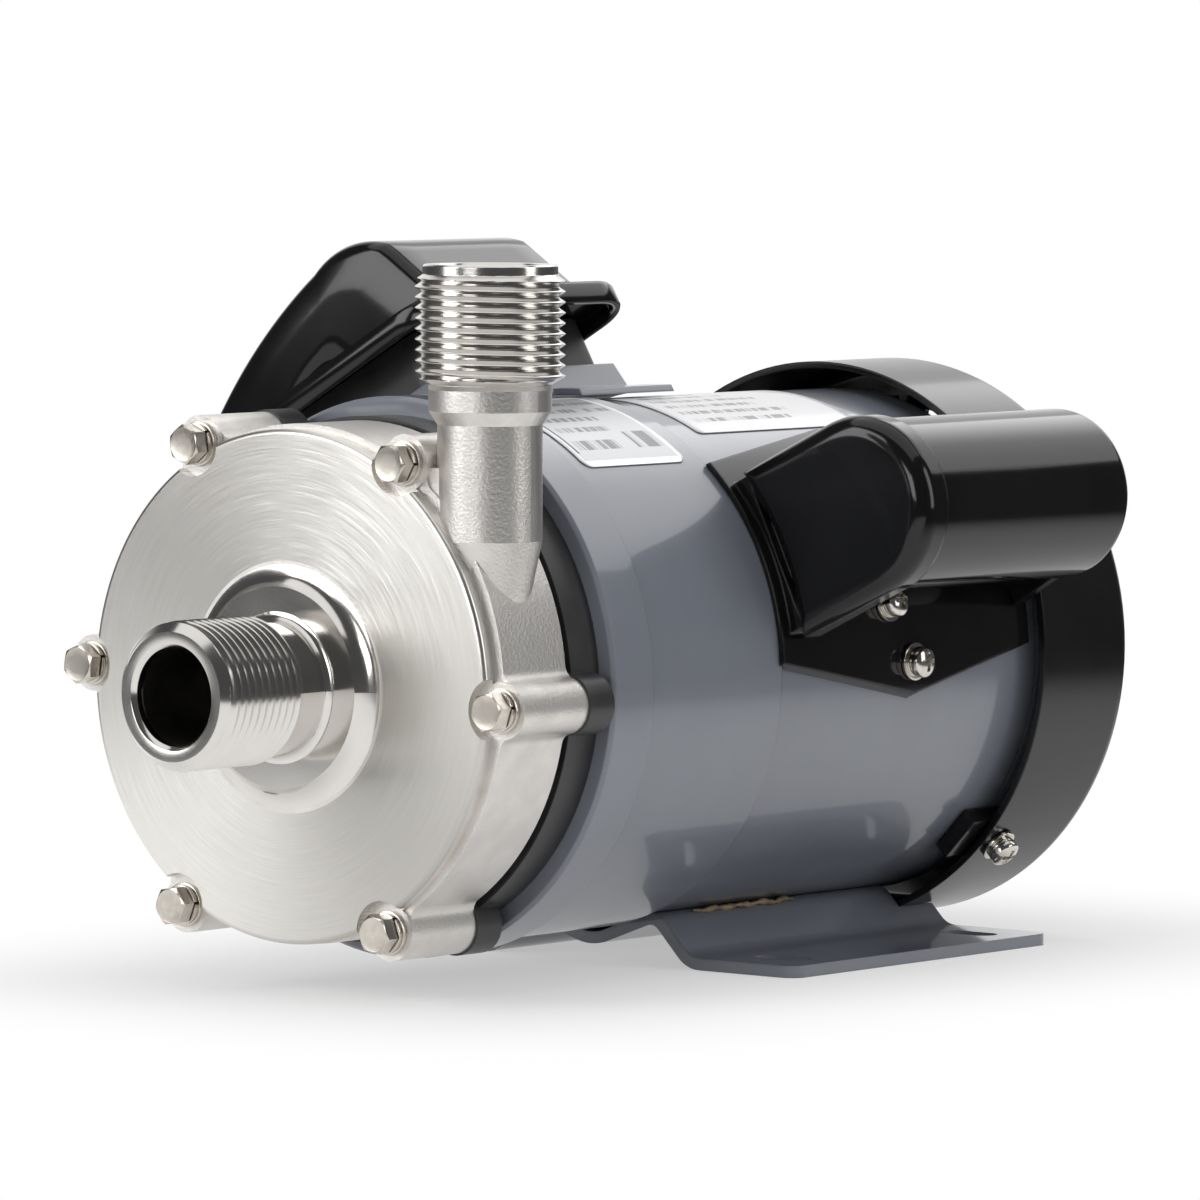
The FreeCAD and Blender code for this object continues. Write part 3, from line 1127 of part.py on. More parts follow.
def make_capacitor():
    """The capacitor, its housing with a saddle on the motor tube, and the screws of the saddle."""
    end = S.HousingFront + S.HousingLength
    rounding = S.HousingRounding
    bore = S.HousingRadius - S.HousingWall
    face = document.addObject("PartDesign::Body", "HousingBlock")
    front = pad(face, "BlockPad", housing_block_outline(), S.HousingFront, S.BlockDepth)
    level = S.HousingFront.value
    round_edges(face, front, S.BlockRounding, lambda edge: all(
        abs(point.Point.y - level) < 1e-6 for point in edge.Vertexes))
    can = place(turned("HousingCan", [
        (S.HousingFront + S.BlockDepth - 1.0, 0), (S.HousingFront + S.BlockDepth - 1.0, S.HousingRadius),
        (end - rounding, S.HousingRadius, rounding), (end, S.HousingRadius - rounding), (end, 0)]),
        S.CanOffset)
    plate_ring = ring("SaddleRing", SADDLE_INNER, SADDLE_OUTER, SADDLE_FRONT, S.SaddleLength)
    tip = SADDLE_FRONT + S.TipBack
    back = SADDLE_FRONT + S.SaddleLength
    plan = document.addObject("PartDesign::Body", "SaddlePlan")
    sketch = draw(plan, "SaddlePlanOutline", "YZ_Plane", [
        (SADDLE_FRONT, -S.SaddleHalf), (tip, -S.SaddleTip), (back, -S.SaddleHalf),
        (back, S.SaddleHalf), (tip, S.SaddleTip), (SADDLE_FRONT, S.SaddleHalf)])
    plan_pad = plan.newObject("PartDesign::Pad", "SaddlePlanPad")
    plan_pad.Profile = sketch
    bind(plan_pad, "Length", S.CanOffset)
    saddle = common("Saddle", [plate_ring, plan])
    rib_front = back - S.RibThickness - 3.0
    web = block("HousingWeb", SADDLE_OUTER - 1.0, S.HousingFront + 3.0, -S.WebHalf,
                S.CanOffset - SADDLE_OUTER, rib_front - S.HousingFront, 2 * S.WebHalf)
    rib = block("HousingRib", SADDLE_OUTER - 1.0, rib_front, -S.RibHalf, S.CanOffset - SADDLE_OUTER,
                S.RibThickness, 2 * S.RibHalf)
    base = block("HousingBase", root(SADDLE_OUTER * SADDLE_OUTER - S.BlockRadius * S.BlockRadius) - 1.0,
                 S.HousingFront + 1.0, -(S.BlockRadius - 2.0), 6.0, S.BlockDepth - 1.0,
                 2 * (S.BlockRadius - 2.0))
    relief = rod("HousingRelief", SADDLE_INNER, SADDLE_FRONT - 1.0, S.SaddleLength + 2.0)
    bell_relief = rod("BellRelief", S.BellRadius + 0.3, SADDLE_FRONT - 1.0,
                      S.BellEnd + 0.3 - SADDLE_FRONT + 1.0)
    cavity = rod("HousingCavity", bore, S.HousingFront + S.HousingWall,
                 S.HousingLength - 2 * S.HousingWall, S.CanOffset)
    screw_places = [(-S.TabAngle, SADDLE_FRONT + S.TabBack), (-S.UnderAngle, SADDLE_FRONT + S.UnderBack),
                    (as_size(S.TabAngle), SADDLE_FRONT + S.TabBack)]
    holes = [turn(group("SaddleHole%d" % number,
                        [stud("SaddleHoleRod%d" % number, S.PanHole, SADDLE_INNER - 2.0, 6.0, along)]),
                  angle) for number, (angle, along) in enumerate(screw_places)]
    notch = block("SaddleNotch", SADDLE_INNER - 1.0,
                  S.CoverFront + S.LugScrew + 4.0 - S.LugLength, -(S.LugWidth / 2 + 1.0),
                  S.SaddleThickness + 3.0, S.LugLength, S.LugWidth + 2.0)
    notch = turn(group("SaddleNotchTurn", [notch]), S.LugTurn + 90.0 - S.CapacitorTurn)
    solid = fuse("HousingSolid", [face, can, saddle, web, rib, base])
    finish(cut("CapacitorHousing", solid, [relief, bell_relief, cavity, notch] + holes), "capacitor_housing",
           S.CapacitorTurn)
    capacitor = place(turned("CapacitorCan", [
        (S.HousingFront + S.HousingWall, 0), (S.HousingFront + S.HousingWall, bore - 0.3),
        (end - S.HousingWall - 0.3, bore - 0.3), (end - S.HousingWall - 0.3, 0)]), S.CanOffset)
    finish(group("Capacitor", [capacitor]), "capacitor", S.CapacitorTurn)
    add_pan_screws("Saddle", "capacitor", screw_places, SADDLE_OUTER + 0.1, S.SaddleThickness + 0.2,
                   S.CapacitorTurn)


def rounded_plan(half_low, half_high, front, end, radius):
    """A rounded rectangle as (across, along) corners."""
    return [(radius - half_low, front), (half_high - radius, front, radius),
            (as_size(half_high), front + radius), (as_size(half_high), end - radius, radius),
            (half_high - radius, end), (radius - half_low, end, radius),
            (-half_low, end - radius), (-half_low, front + radius, radius)]


def dome_outline(inset, foot):
    """The hood's side view above its rim, as (across, up), from the low end to the high end."""
    low = -(S.HoodLow - 1.6 * inset)
    high = S.HoodHigh - inset
    return [(low, foot), (high, foot),
            (S.ShoulderSide - inset, DOME_FOOT + S.ShoulderRise - 0.4 * inset, S.CrestCurve - inset),
            (as_size(S.CrestSide), DOME_FOOT + S.CrestRise - inset, S.SlopeCurve - inset),
            (low, DOME_FOOT)]


def make_terminal_pedestal():
    """The painted casting on the motor that carries the terminal box."""
    base = S.BellRadius + 0.3
    half = S.PedestalHalf
    low = S.PedestalTop - S.PedestalDrop
    column = padded("PedestalColumn", [
        (-(half + S.PedestalDraft), low), (half + S.PedestalDraft, low), (as_size(half), S.PedestalTop),
        (-half, S.PedestalTop)], S.PedestalFront, S.PedestalLength)
    skirt_ring = ring("SkirtRing", base, base + S.SkirtThickness, S.BellEnd, S.SkirtLength)
    skirt_plan = block("SkirtPlan", -S.SkirtHalf, S.BellEnd, 0, 2 * S.SkirtHalf, S.SkirtLength,
                       S.PedestalTop + 10.0)
    skirt = common("PedestalSkirt", [skirt_ring, skirt_plan])
    relief = rod("PedestalRelief", base, 0, S.MotorEnd)
    finish(cut("TerminalPedestal", fuse("PedestalSolid", [column, skirt]), [relief]),
           "terminal_pedestal", S.TerminalTurn)


def make_terminal_box():
    """The open box under the hood, its terminal block and the grommet of its cable hole."""
    front = S.PedestalFront + 1.0
    end = S.PedestalFront + S.PedestalLength - 1.0
    middle = (front + end) / 2
    half = S.BoxHalf
    wall = S.BoxWall
    corner = S.BoxCorner
    outer = raised("BoxOuter", rounded_plan(half, half, front, end, corner), S.PedestalTop, S.BoxHeight)
    inner = raised("BoxInner", rounded_plan(half - wall, half - wall, front + wall, end - wall,
                                            corner - wall), S.PedestalTop + wall, S.BoxHeight)
    hole_height = S.PedestalTop + S.GrommetRadius + 0.5
    hole = stud("BoxCableHole", S.GrommetRadius - 1.0, -half - 1.0, wall + 2.0, middle, hole_height)
    posts = []
    sinks = []
    for number, (across, along) in enumerate(hood_screw_places()):
        posts.append(post("BoxPost%d" % number, S.PostRadius, S.PedestalTop + 1.0, S.BoxHeight - 1.0,
                          across, along))
        sinks.append(post("BoxPostBore%d" % number, S.HoodScrew + 0.2, S.PedestalTop - 1.0,
                          S.BoxHeight + 2.0, across, along))
        sinks.append(post("BoxPostSink%d" % number, S.HoodScrew * 1.8 + 0.2, S.PedestalTop - 1.0,
                          wall + 4.0, across, along))
    shell = cut("BoxShell", outer, [inner, hole])
    finish(cut("TerminalBox", fuse("BoxWithPosts", [shell] + posts), sinks), "terminal_box",
           S.TerminalTurn)
    lip = stud("GrommetLip", S.GrommetRadius, -half - 1.5, 1.4, middle, hole_height)
    neck = stud("GrommetNeck", S.GrommetRadius - 1.1, -half - 0.2, wall + 0.2, middle, hole_height)
    bore = stud("GrommetWay", S.GrommetBore, -half - 3.0, wall + 5.0, middle, hole_height)
    finish(cut("CableGrommet", fuse("GrommetSolid", [lip, neck]), [bore]), "cable_grommet",
           S.TerminalTurn)
    floor = S.PedestalTop + wall
    body = block("TerminalBody", -S.BlockWidth / 2, middle - S.BlockLength / 2, floor, S.BlockWidth,
                 S.BlockLength, S.BlockHeight)
    rows = [(column, row) for row in range(3) for column in (-1, 1)]
    pitch = S.BlockLength / 3
    spots = [(column * S.BlockWidth / 4, middle + (row - 1) * pitch) for column, row in rows]
    sinks = [post("TerminalSink%d" % number, S.TerminalScrew + 0.1, floor + 4.0, S.BlockHeight,
                  across, along) for number, (across, along) in enumerate(spots)]
    finish(cut("TerminalBlock", body, sinks), "terminal_block", S.TerminalTurn)
    screws = [post("TerminalScrew%d" % number, S.TerminalScrew, floor + 4.0, S.BlockHeight - 5.0,
                   across, along) for number, (across, along) in enumerate(spots)]
    finish(group("TerminalScrews", screws), "terminal_screws", S.TerminalTurn)


def hood_screw_places():
    """Across and along of the two screws that hold the hood on its box, across corners."""
    middle = S.PedestalFront + S.PedestalLength / 2
    return [(S.PostAcross * side, middle + S.PostAlong * side) for side in (-1, 1)]


def make_terminal_hood():
    """The black moulded hood: a dome over a rim that stands proud all round."""
    dome = document.addObject("PartDesign::Body", "HoodDome")
    solid = pad(dome, "DomePad", dome_outline(as_size(0), as_size(DOME_FOOT) - 0.01), S.HoodFront,
                S.HoodLength)
    front = S.HoodFront.value
    end = HOOD_END.value
    foot = DOME_FOOT.value
    round_edges(dome, solid, S.HoodRounding, lambda edge: edge.CenterOfMass.z > foot + 1.0 and (
        all(abs(point.Point.y - front) < 1e-6 for point in edge.Vertexes)
        or all(abs(point.Point.y - end) < 1e-6 for point in edge.Vertexes)))
    proud = S.RimProud
    rim = raised("HoodRim", rounded_plan(S.HoodLow + proud, S.HoodHigh + proud, S.HoodFront - proud,
                                         HOOD_END + proud, S.RimCorner), S.RimFoot, S.RimHeight)
    wall = S.HoodWall
    hollow = padded("HoodHollow", dome_outline(as_size(wall), DOME_FOOT - 2.0), S.HoodFront + wall,
                    S.HoodLength - 2 * wall)
    mouth = raised("HoodMouth", rounded_plan(S.HoodLow + proud - wall, S.HoodHigh + proud - wall,
                                             S.HoodFront - proud + wall, HOOD_END + proud - wall,
                                             S.RimCorner - wall), S.RimFoot - 1.0,
                   S.RimHeight + 1.0 - wall)
    shell = cut("HoodShell", fuse("HoodSolid", [dome, rim]), [hollow, mouth])
    seat = S.PedestalTop + S.BoxHeight + S.FixedGap
    posts = []
    bores = []
    screws = []
    for number, (across, along) in enumerate(hood_screw_places()):
        post_solid = post("HoodPost%d" % number, S.PostRadius, seat, S.CrestRise, across, along)
        posts.append(common("HoodPostFit%d" % number, [post_solid, dome]))
        bores.append(post("HoodPostBore%d" % number, S.HoodScrew + 0.1, seat - 1.0, 9.0, across, along))
        screws.append(post("HoodScrewHead%d" % number, S.HoodScrew * 1.8,
                           S.PedestalTop + S.BoxWall + 1.0, 2.0, across, along))
        screws.append(post("HoodScrewShank%d" % number, S.HoodScrew,
                           S.PedestalTop + S.BoxWall + 2.5, S.BoxHeight + 3.0, across, along))
    finish(cut("TerminalHood", fuse("HoodWithPosts", [shell] + posts), bores), "terminal_hood",
           S.TerminalTurn)
    finish(fuse("HoodScrews", screws), "hood_screws", S.TerminalTurn)


def label_patch(name, label, radius, start, length, low, sweep):
    """A printed label wrapped on a round housing."""
    outer = rod(name + "Outer", radius + S.FixedGap + S.LabelThickness, start, length)
    bind(outer, "Angle", sweep)
    inner = rod(name + "Inner", radius + S.FixedGap, start - 1.0, length + 2.0)
    finish(cut(name, outer, [inner]), label, low + sweep)


def make_labels():
    label_patch("BellLabel", "bell_label", S.BellRadius, S.BellLabelFront, S.BellLabelLength,
                S.BellLabelLow, S.BellLabelSweep)
    label_patch("TubeLabel", "tube_label", S.MotorRadius, S.TubeLabelFront, S.TubeLabelLength,
                S.TubeLabelLow, S.TubeLabelSweep)


make_pump_casing()
make_casing_fasteners()
make_casing_seal()
make_rear_casing()
make_impeller()
make_driven_magnet()
make_impeller_shaft()
make_clamp_bracket()
make_drive_magnet()
make_front_bell()
make_motor_tube()
make_foot_plate()
make_stator()
make_rotor()
make_bearing("Front", FRONT_BEARING)
make_bearing("Rear", REAR_BEARING)
make_rear_shield()
make_fan()
make_fan_cover()
make_cover_fixings()
make_capacitor()
make_terminal_pedestal()
make_terminal_box()
make_terminal_hood()
make_labels()
document.recompute()

for item in document.Objects:
    if "Invalid" in item.State or "Error" in item.State:
        raise RuntimeError(item.Name + " did not build")

os.makedirs("parts", exist_ok=True)
for item in finished:
    if item.Shape.isNull() or not item.Shape.isValid():
        raise RuntimeError(item.Label + " has no valid shape")
    item.Shape.exportStep("parts/" + item.Label + ".step")
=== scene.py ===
import logging
import math
from dataclasses import dataclass
from enum import Enum
from typing import Any, Callable, Optional, Sequence, Union

import bmesh
import bpy
import numpy as np
from mathutils import Matrix


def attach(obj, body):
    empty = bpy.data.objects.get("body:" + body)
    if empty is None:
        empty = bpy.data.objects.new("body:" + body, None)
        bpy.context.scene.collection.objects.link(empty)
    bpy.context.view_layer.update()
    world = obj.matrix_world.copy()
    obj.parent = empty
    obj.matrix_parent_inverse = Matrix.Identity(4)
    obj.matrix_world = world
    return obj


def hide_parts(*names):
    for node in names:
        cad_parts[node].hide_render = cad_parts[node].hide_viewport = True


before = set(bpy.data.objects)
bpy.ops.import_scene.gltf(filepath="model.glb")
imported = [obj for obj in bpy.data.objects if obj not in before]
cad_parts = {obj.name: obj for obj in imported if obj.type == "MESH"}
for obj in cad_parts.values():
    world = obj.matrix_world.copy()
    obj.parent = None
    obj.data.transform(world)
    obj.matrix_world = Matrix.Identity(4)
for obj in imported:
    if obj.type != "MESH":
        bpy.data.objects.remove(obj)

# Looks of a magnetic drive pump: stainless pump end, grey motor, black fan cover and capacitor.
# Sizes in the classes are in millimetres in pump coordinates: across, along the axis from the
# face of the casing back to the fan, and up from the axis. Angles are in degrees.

log = logging.getLogger("pump")
Colour = tuple[float, float, float]
Place = tuple[float, float, float]
Number = Union[float, "Signal"]

MILLIMETRE = 0.001
AXIS_HEIGHT = 70.0
FOOT_MIDDLE = 157.5
ROW_SHIFT = np.array([0.0, -FOOT_MIDDLE, AXIS_HEIGHT])
WELD = 1e-7
SLIVER = 1e-8
SEAM = 0.01
BODY = "pump_body"


# ---------------------------------------------------------------- surfaces


def to_row(points: np.ndarray) -> np.ndarray:
    """Moves points from pump coordinates to the row frame.

    Args:
        points: Points in millimetres, across, along and up, in the last axis.

    Returns:
        The same points in metres over the floor: (x, y - 157.5, z + 70) / 1000.
    """
    return (points + ROW_SHIFT) * MILLIMETRE


def from_row(numbers: np.ndarray) -> np.ndarray:
    """Turns a flat list of places in the row frame into rows of points in pump coordinates."""
    return numbers.reshape(-1, 3).astype(float) / MILLIMETRE - ROW_SHIFT


def whole_turn(count: int, closed: bool = False) -> np.ndarray:
    """A row of angles round a whole turn, the last one equal to the first if closed."""
    return np.linspace(0.0, 2.0 * math.pi, count, endpoint=closed)[None, :]


def smooth_step(value: np.ndarray, low: float, high: float) -> np.ndarray:
    """A soft step from 0 at low to 1 at high: t * t * (3 - 2 t) with t clipped to 0..1."""
    t = np.clip((value - low) / (high - low), 0.0, 1.0)
    return t * t * (3.0 - 2.0 * t)


def read(items: Any, key: str, width: int = 3, kind: type = np.float32) -> np.ndarray:
    """Reads one property of every item of a mesh, such as its points.

    Args:
        items: The items.
        key: The property.
        width: How many numbers it has.
        kind: Type of the numbers.

    Returns:
        A flat array.
    """
    values = np.empty(len(items) * width, dtype=kind)
    items.foreach_get(key, values)
    return values


def add_object(name: str, data: Any) -> bpy.types.Object:
    """Puts a new object with the given mesh, lamp or camera in the scene."""
    made = bpy.data.objects.new(name, data)
    bpy.context.scene.collection.objects.link(made)
    return made


def weld(mesh: bpy.types.Mesh, outward: bool) -> None:
    """Merges the points that lie together.

    Args:
        mesh: The mesh.
        outward: Also removes slivers and turns all faces outward.
    """
    work = bmesh.new()
    work.from_mesh(mesh)
    bmesh.ops.remove_doubles(work, verts=work.verts, dist=WELD)
    if outward:
        bmesh.ops.dissolve_degenerate(work, edges=work.edges, dist=SLIVER)
        bmesh.ops.recalc_face_normals(work, faces=work.faces)
    work.to_mesh(mesh)
    work.free()


def thicken(piece: bpy.types.Object, thickness: float) -> None:
    """Gives an open sheet its thickness, inward from its faces."""
    thick = piece.modifiers.new("Thickness", "SOLIDIFY")
    thick.thickness = thickness * MILLIMETRE
    thick.offset = -1.0


@dataclass
class Grid:
    """A surface on a grid of rows and columns of points, in pump coordinates.

    The columns close on themselves when round is true, and the rows when looped is true.
    """

    points: np.ndarray
    round: bool = True
    looped: bool = False
    flat_map: Optional[np.ndarray] = None

    def quads(self, start: int) -> np.ndarray:
        """Corner numbers of every face.

        Args:
            start: Number of the grid's first point in the mesh.

        Returns:
            An array of faces by four corners, (r, c), (r, c+1), (r+1, c+1), (r+1, c).
        """
        rows, columns = self.points.shape[:2]
        number = np.arange(rows * columns).reshape(rows, columns) + start
        if self.round:
            number = np.concatenate([number, number[:, :1]], axis=1)
        if self.looped:
            number = np.concatenate([number, number[:1]], axis=0)
        corners = [number[:-1, :-1], number[:-1, 1:], number[1:, 1:], number[1:, :-1]]
        return np.stack([part.ravel() for part in corners], axis=1)


def make_piece(name: str, grids: Sequence[Grid], sharp: float = 35.0) -> bpy.types.Object:
    """Builds one object from several grids.

    Args:
        name: Name of the piece.
        grids: The grids that make it up. Rows of equal points close its ends as poles.
        sharp: Angle in degrees over which an edge is shown sharp.

    Returns:
        The new object, at the origin, with its place in its mesh.
    """
    starts = np.cumsum([0] + [grid.points.shape[0] * grid.points.shape[1] for grid in grids])
    points = np.concatenate([to_row(grid.points).reshape(-1, 3) for grid in grids])
    faces = np.concatenate([grid.quads(int(start)) for grid, start in zip(grids, starts)])
    mesh = bpy.data.meshes.new(name)
    mesh.from_pydata(points.tolist(), [], faces.tolist())
    if grids[0].flat_map is not None:
        flat = np.concatenate([grid.flat_map.reshape(-1, 2) for grid in grids])
        corner = read(mesh.loops, "vertex_index", 1, np.int64)
        mesh.uv_layers.new(name="UVMap").data.foreach_set("uv", flat[corner].ravel())
    weld(mesh, True)
    mesh.shade_smooth()
    mesh.set_sharp_from_angle(angle=math.radians(sharp))
    return add_object(name, mesh)


def outline_to_rows(outline: Sequence[tuple[float, float]], rounding: float) -> np.ndarray:
    """Turns an outline into rows, with each inner corner cut by a short round.

    Args:
        outline: (radius, height) corners.
        rounding: Length cut from both sides of each inner corner, at most 0.45 of a side.

    Returns:
        Rows of (radius, height). A corner becomes three points of the quadratic curve
        (1-t)^2 before + 2 t (1-t) corner + t^2 after, at t = 0, 1/2 and 1.
    """
    most = 0.45
    corners = np.array(outline, dtype=float)
    back = corners[:-2] - corners[1:-1]
    ahead = corners[2:] - corners[1:-1]
    length_back = np.linalg.norm(back, axis=1, keepdims=True)
    length_ahead = np.linalg.norm(ahead, axis=1, keepdims=True)
    reach = np.minimum(rounding, most * np.minimum(length_back, length_ahead))
    before = corners[1:-1] + back / length_back * reach
    after = corners[1:-1] + ahead / length_ahead * reach
    middle = 0.25 * before + 0.5 * corners[1:-1] + 0.25 * after
    inner = np.stack([before, middle, after], axis=1).reshape(-1, 2)
    return np.concatenate([corners[:1], inner, corners[-1:]])


@dataclass(frozen=True)
class Spot:
    """Where a small turned piece sits, and the way that its own axis points.

    The piece's height runs along axis, and its angle starts at side.
    """

    centre: Place
    axis: Place
    side: Place

    def points(self, angle: np.ndarray, radius: np.ndarray, height: np.ndarray) -> np.ndarray:
        """Points at centre + height axis + r cos a side + r sin a (axis x side)."""
        axis = np.array(self.axis)
        side = np.array(self.side)
        third = np.cross(axis, side)
        angle, radius, height = np.broadcast_arrays(angle, radius, height)
        flat = ((radius * np.cos(angle))[..., None] * side
                + (radius * np.sin(angle))[..., None] * third)
        return np.array(self.centre) + height[..., None] * axis + flat


def ring_section(bore: float, outer: float, low: float, high: float, start: float,
                 rounding: float) -> np.ndarray:
    """The section of a ring as rows of (radius, height).

    Args:
        bore: Inner radius.
        outer: Outer radius.
        low: Lower height.
        high: Upper height.
        start: Distance from the bore to the point of the lower side where the rows start.
        rounding: Length cut from both sides of each corner.

    Returns:
        Rows that end a seam's width before they started.
    """
    return outline_to_rows([(bore + start, low), (outer, low), (outer, high), (bore, high),
                            (bore, low), (bore + start - SEAM, low)], rounding)


def flat_ring(spot: Spot, bore: float, outer: float, thickness: float, rounding: float,
              count: int) -> Grid:
    """A flat washer: a ring's section carried round the spot's axis in count steps."""
    rows = ring_section(bore, outer, 0.0, thickness, 0.2, rounding)
    return Grid(spot.points(whole_turn(count), rows[:, :1], rows[:, 1:]), looped=True)


# ---------------------------------------------------------------- materials


class Signal:
    """A socket whose value is used in a formula. Each operator adds a Math node."""

    def __init__(self, graph: "Graph", socket: bpy.types.NodeSocket) -> None:
        """Keeps the socket and the graph that it belongs to."""
        self.graph = graph
        self.socket = socket

    def other(self, key: Union[int, str]) -> "Signal":
        """Another output of the same node."""
        return Signal(self.graph, self.socket.node.outputs[key])

    def calculate(self, operation: str, *others: Number) -> "Signal":
        """Adds one Math node.

        Args:
            operation: The node's operation.
            others: The values after this one.

        Returns:
            The node's result.
        """
        return self.graph.node("ShaderNodeMath", [self, *others], operation=operation)

    def __add__(self, other: Number) -> "Signal":
        """This plus other."""
        return self.calculate("ADD", other)

    def __sub__(self, other: Number) -> "Signal":
        """This minus other."""
        return self.calculate("SUBTRACT", other)

    def __mul__(self, other: Number) -> "Signal":
        """This times other."""
        return self.calculate("MULTIPLY", other)

    def __truediv__(self, other: Number) -> "Signal":
        """This over other."""
        return self.calculate("DIVIDE", other)

    def __pow__(self, other: Number) -> "Signal":
        """This to the power of other."""
        return self.calculate("POWER", other)

    def __abs__(self) -> "Signal":
        """The value without its sign."""
        return self.calculate("ABSOLUTE")

    def larger(self, other: Number) -> "Signal":
        """The larger of this and other."""
        return self.calculate("MAXIMUM", other)

    def step(self, low: float, high: float) -> "Signal":
        """A soft step from 0 where this is low to 1 where it is high."""
        ends = [self, high, low, 1.0, 0.0] if low > high else [self, low, high, 0.0, 1.0]
        return self.graph.node("ShaderNodeMapRange", ends, interpolation_type="SMOOTHSTEP")

    def within(self, low: float, high: float, soft: float) -> "Signal":
        """1 between low and high, falling to 0 over soft on both sides."""
        return self.step(low - soft, low + soft) * self.step(high + soft, high - soft)


class Graph:
    """The nodes of one material or world."""

    def __init__(self, tree: bpy.types.NodeTree) -> None:
        """Starts with an empty tree."""
        tree.nodes.clear()
        self.tree = tree

    def node(self, kind: str, inputs: Union[Sequence[Any], dict[Any, Any]] = (),
             output: Union[int, str] = 0, **settings: Any) -> Signal:
        """Adds any node.

        Args:
            kind: The node's type.
            inputs: Values or links of its sockets, in order or by name. None leaves one alone.
            output: The output that is returned.
            settings: Its settings, set first.

        Returns:
            The output as a Signal.
        """
        made = self.tree.nodes.new(kind)
        for key, value in settings.items():
            setattr(made, key, value)
        for key, value in (inputs.items() if isinstance(inputs, dict) else enumerate(inputs)):
            if isinstance(value, Signal):
                self.tree.links.new(value.socket, made.inputs[key])
            elif isinstance(value, tuple) and len(made.inputs[key].default_value) == 4:
                made.inputs[key].default_value = (*value, 1.0)
            elif value is not None:
                made.inputs[key].default_value = value
        return Signal(self, made.outputs[output])

    def end(self, kind: str, shader: Signal) -> None:
        """Links a shader to the tree's output."""
        self.tree.links.new(shader.socket, self.tree.nodes.new(kind).inputs[0])

    def parts(self, kind: str) -> tuple[Signal, Signal, Signal]:
        """The three parts of a texture coordinate, such as Object, UV or Generated."""
        place = self.node("ShaderNodeTexCoord", output=kind)
        first = self.node("ShaderNodeSeparateXYZ", [place])
        return first, first.other(1), first.other(2)

    def from_axis(self) -> tuple[Signal, Signal, Signal]:
        """The point of the surface in millimetres: across, along and up from the pump axis."""
        x, y, z = self.parts("Object")
        return x / MILLIMETRE, y / MILLIMETRE + FOOT_MIDDLE, z / MILLIMETRE - AXIS_HEIGHT

    def join(self, x: Number, y: Number, z: Number) -> Signal:
        """A vector from three numbers."""
        return self.node("ShaderNodeCombineXYZ", [x, y, z])

    def noise(self, size: float, detail: float = 2.0, vector: Optional[Signal] = None) -> Signal:
        """Soft noise from 0 to 1.

        Args:
            size: Size of its features in millimetres, or in the vector's own units.
            detail: Number of finer layers.
            vector: Where it is read, the point of the surface if none is given.

        Returns:
            The noise.
        """
        unit = MILLIMETRE if vector is None else 1.0
        place = vector or self.node("ShaderNodeTexCoord", output="Object")
        return self.node("ShaderNodeTexNoise",
                         {"Vector": place, "Scale": 1.0 / (size * unit), "Detail": detail})

    def blend(self, first: Any, second: Any, share: Number) -> Signal:
        """Mixes two colours, from first where share is 0 to second where it is 1."""
        return self.node("ShaderNodeMix", {0: share, 6: first, 7: second}, 2, data_type="RGBA",
                         clamp_factor=True)

    def relief(self, height: Signal, depth: float, before: Optional[Signal] = None) -> Signal:
        """A bumpy normal.

        Args:
            height: Height from 0 to 1.
            depth: Depth of the relief in millimetres.
            before: A normal that it is laid on.

        Returns:
            The new normal.
        """
        return self.node("ShaderNodeBump", {"Height": height, "Distance": depth * MILLIMETRE,
                                            "Strength": 1.0, "Normal": before})


class Lay(Enum):
    """The way that fine machining lines run."""

    RINGS = "rings round the pump axis on a flat face"
    ROUND_AXIS = "lines round the pump axis on a turned length"
    ROUND_UPRIGHT = "lines round an upright axis"


@dataclass(frozen=True)
class Finish:
    """An even finish with soft patches and fine grain.

    Sizes are in millimetres. Second is the colour of the patches, and edge is the radius to
    which sharp corners look rounded.
    """

    name: str
    colour: Colour
    second: Colour
    metallic: float = 0.0
    roughness: float = 0.4
    spread: float = 0.05
    patch: float = 14.0
    grain: float = 0.5
    depth: float = 0.01
    coat: float = 0.0
    coat_roughness: float = 0.05
    specular: float = 0.5
    edge: float = 0.0

    def material(self) -> bpy.types.Material:
        """Builds the finish once, and gives it back when it is asked for again."""
        made = bpy.data.materials.get(self.name)
        if made is None:
            made = bpy.data.materials.new(self.name)
            made.use_nodes = True
            self.build(Graph(made.node_tree))
        return made

    def build(self, graph: Graph) -> None:
        """Lays out the nodes of the finish, whose roughness drifts with the patches."""
        patches = graph.noise(self.patch, 3.0)
        graph.end("ShaderNodeOutputMaterial", graph.node("ShaderNodeBsdfPrincipled", {
            "Base Color": self.tint(graph, patches),
            "Metallic": self.metallic,
            "Roughness": (patches - 0.5) * (2.0 * self.spread) + self.roughness,
            "Normal": self.normal(graph),
            "Coat Weight": self.coat,
            "Coat Roughness": self.coat_roughness,
            "Specular IOR Level": self.specular,
        }))

    def tint(self, graph: Graph, patches: Signal) -> Signal:
        """The colour, which drifts between the two colours with the patches."""
        return graph.blend(self.colour, self.second, patches.step(0.3, 0.7))

    def normal(self, graph: Graph) -> Signal:
        """A fine grain on the surface, over softly rounded corners."""
        rounded = None
        if self.edge > 0.0:
            rounded = graph.node("ShaderNodeBevel", {"Radius": self.edge * MILLIMETRE}, samples=6)
        return graph.relief(graph.noise(self.grain, 2.0), self.depth, rounded)


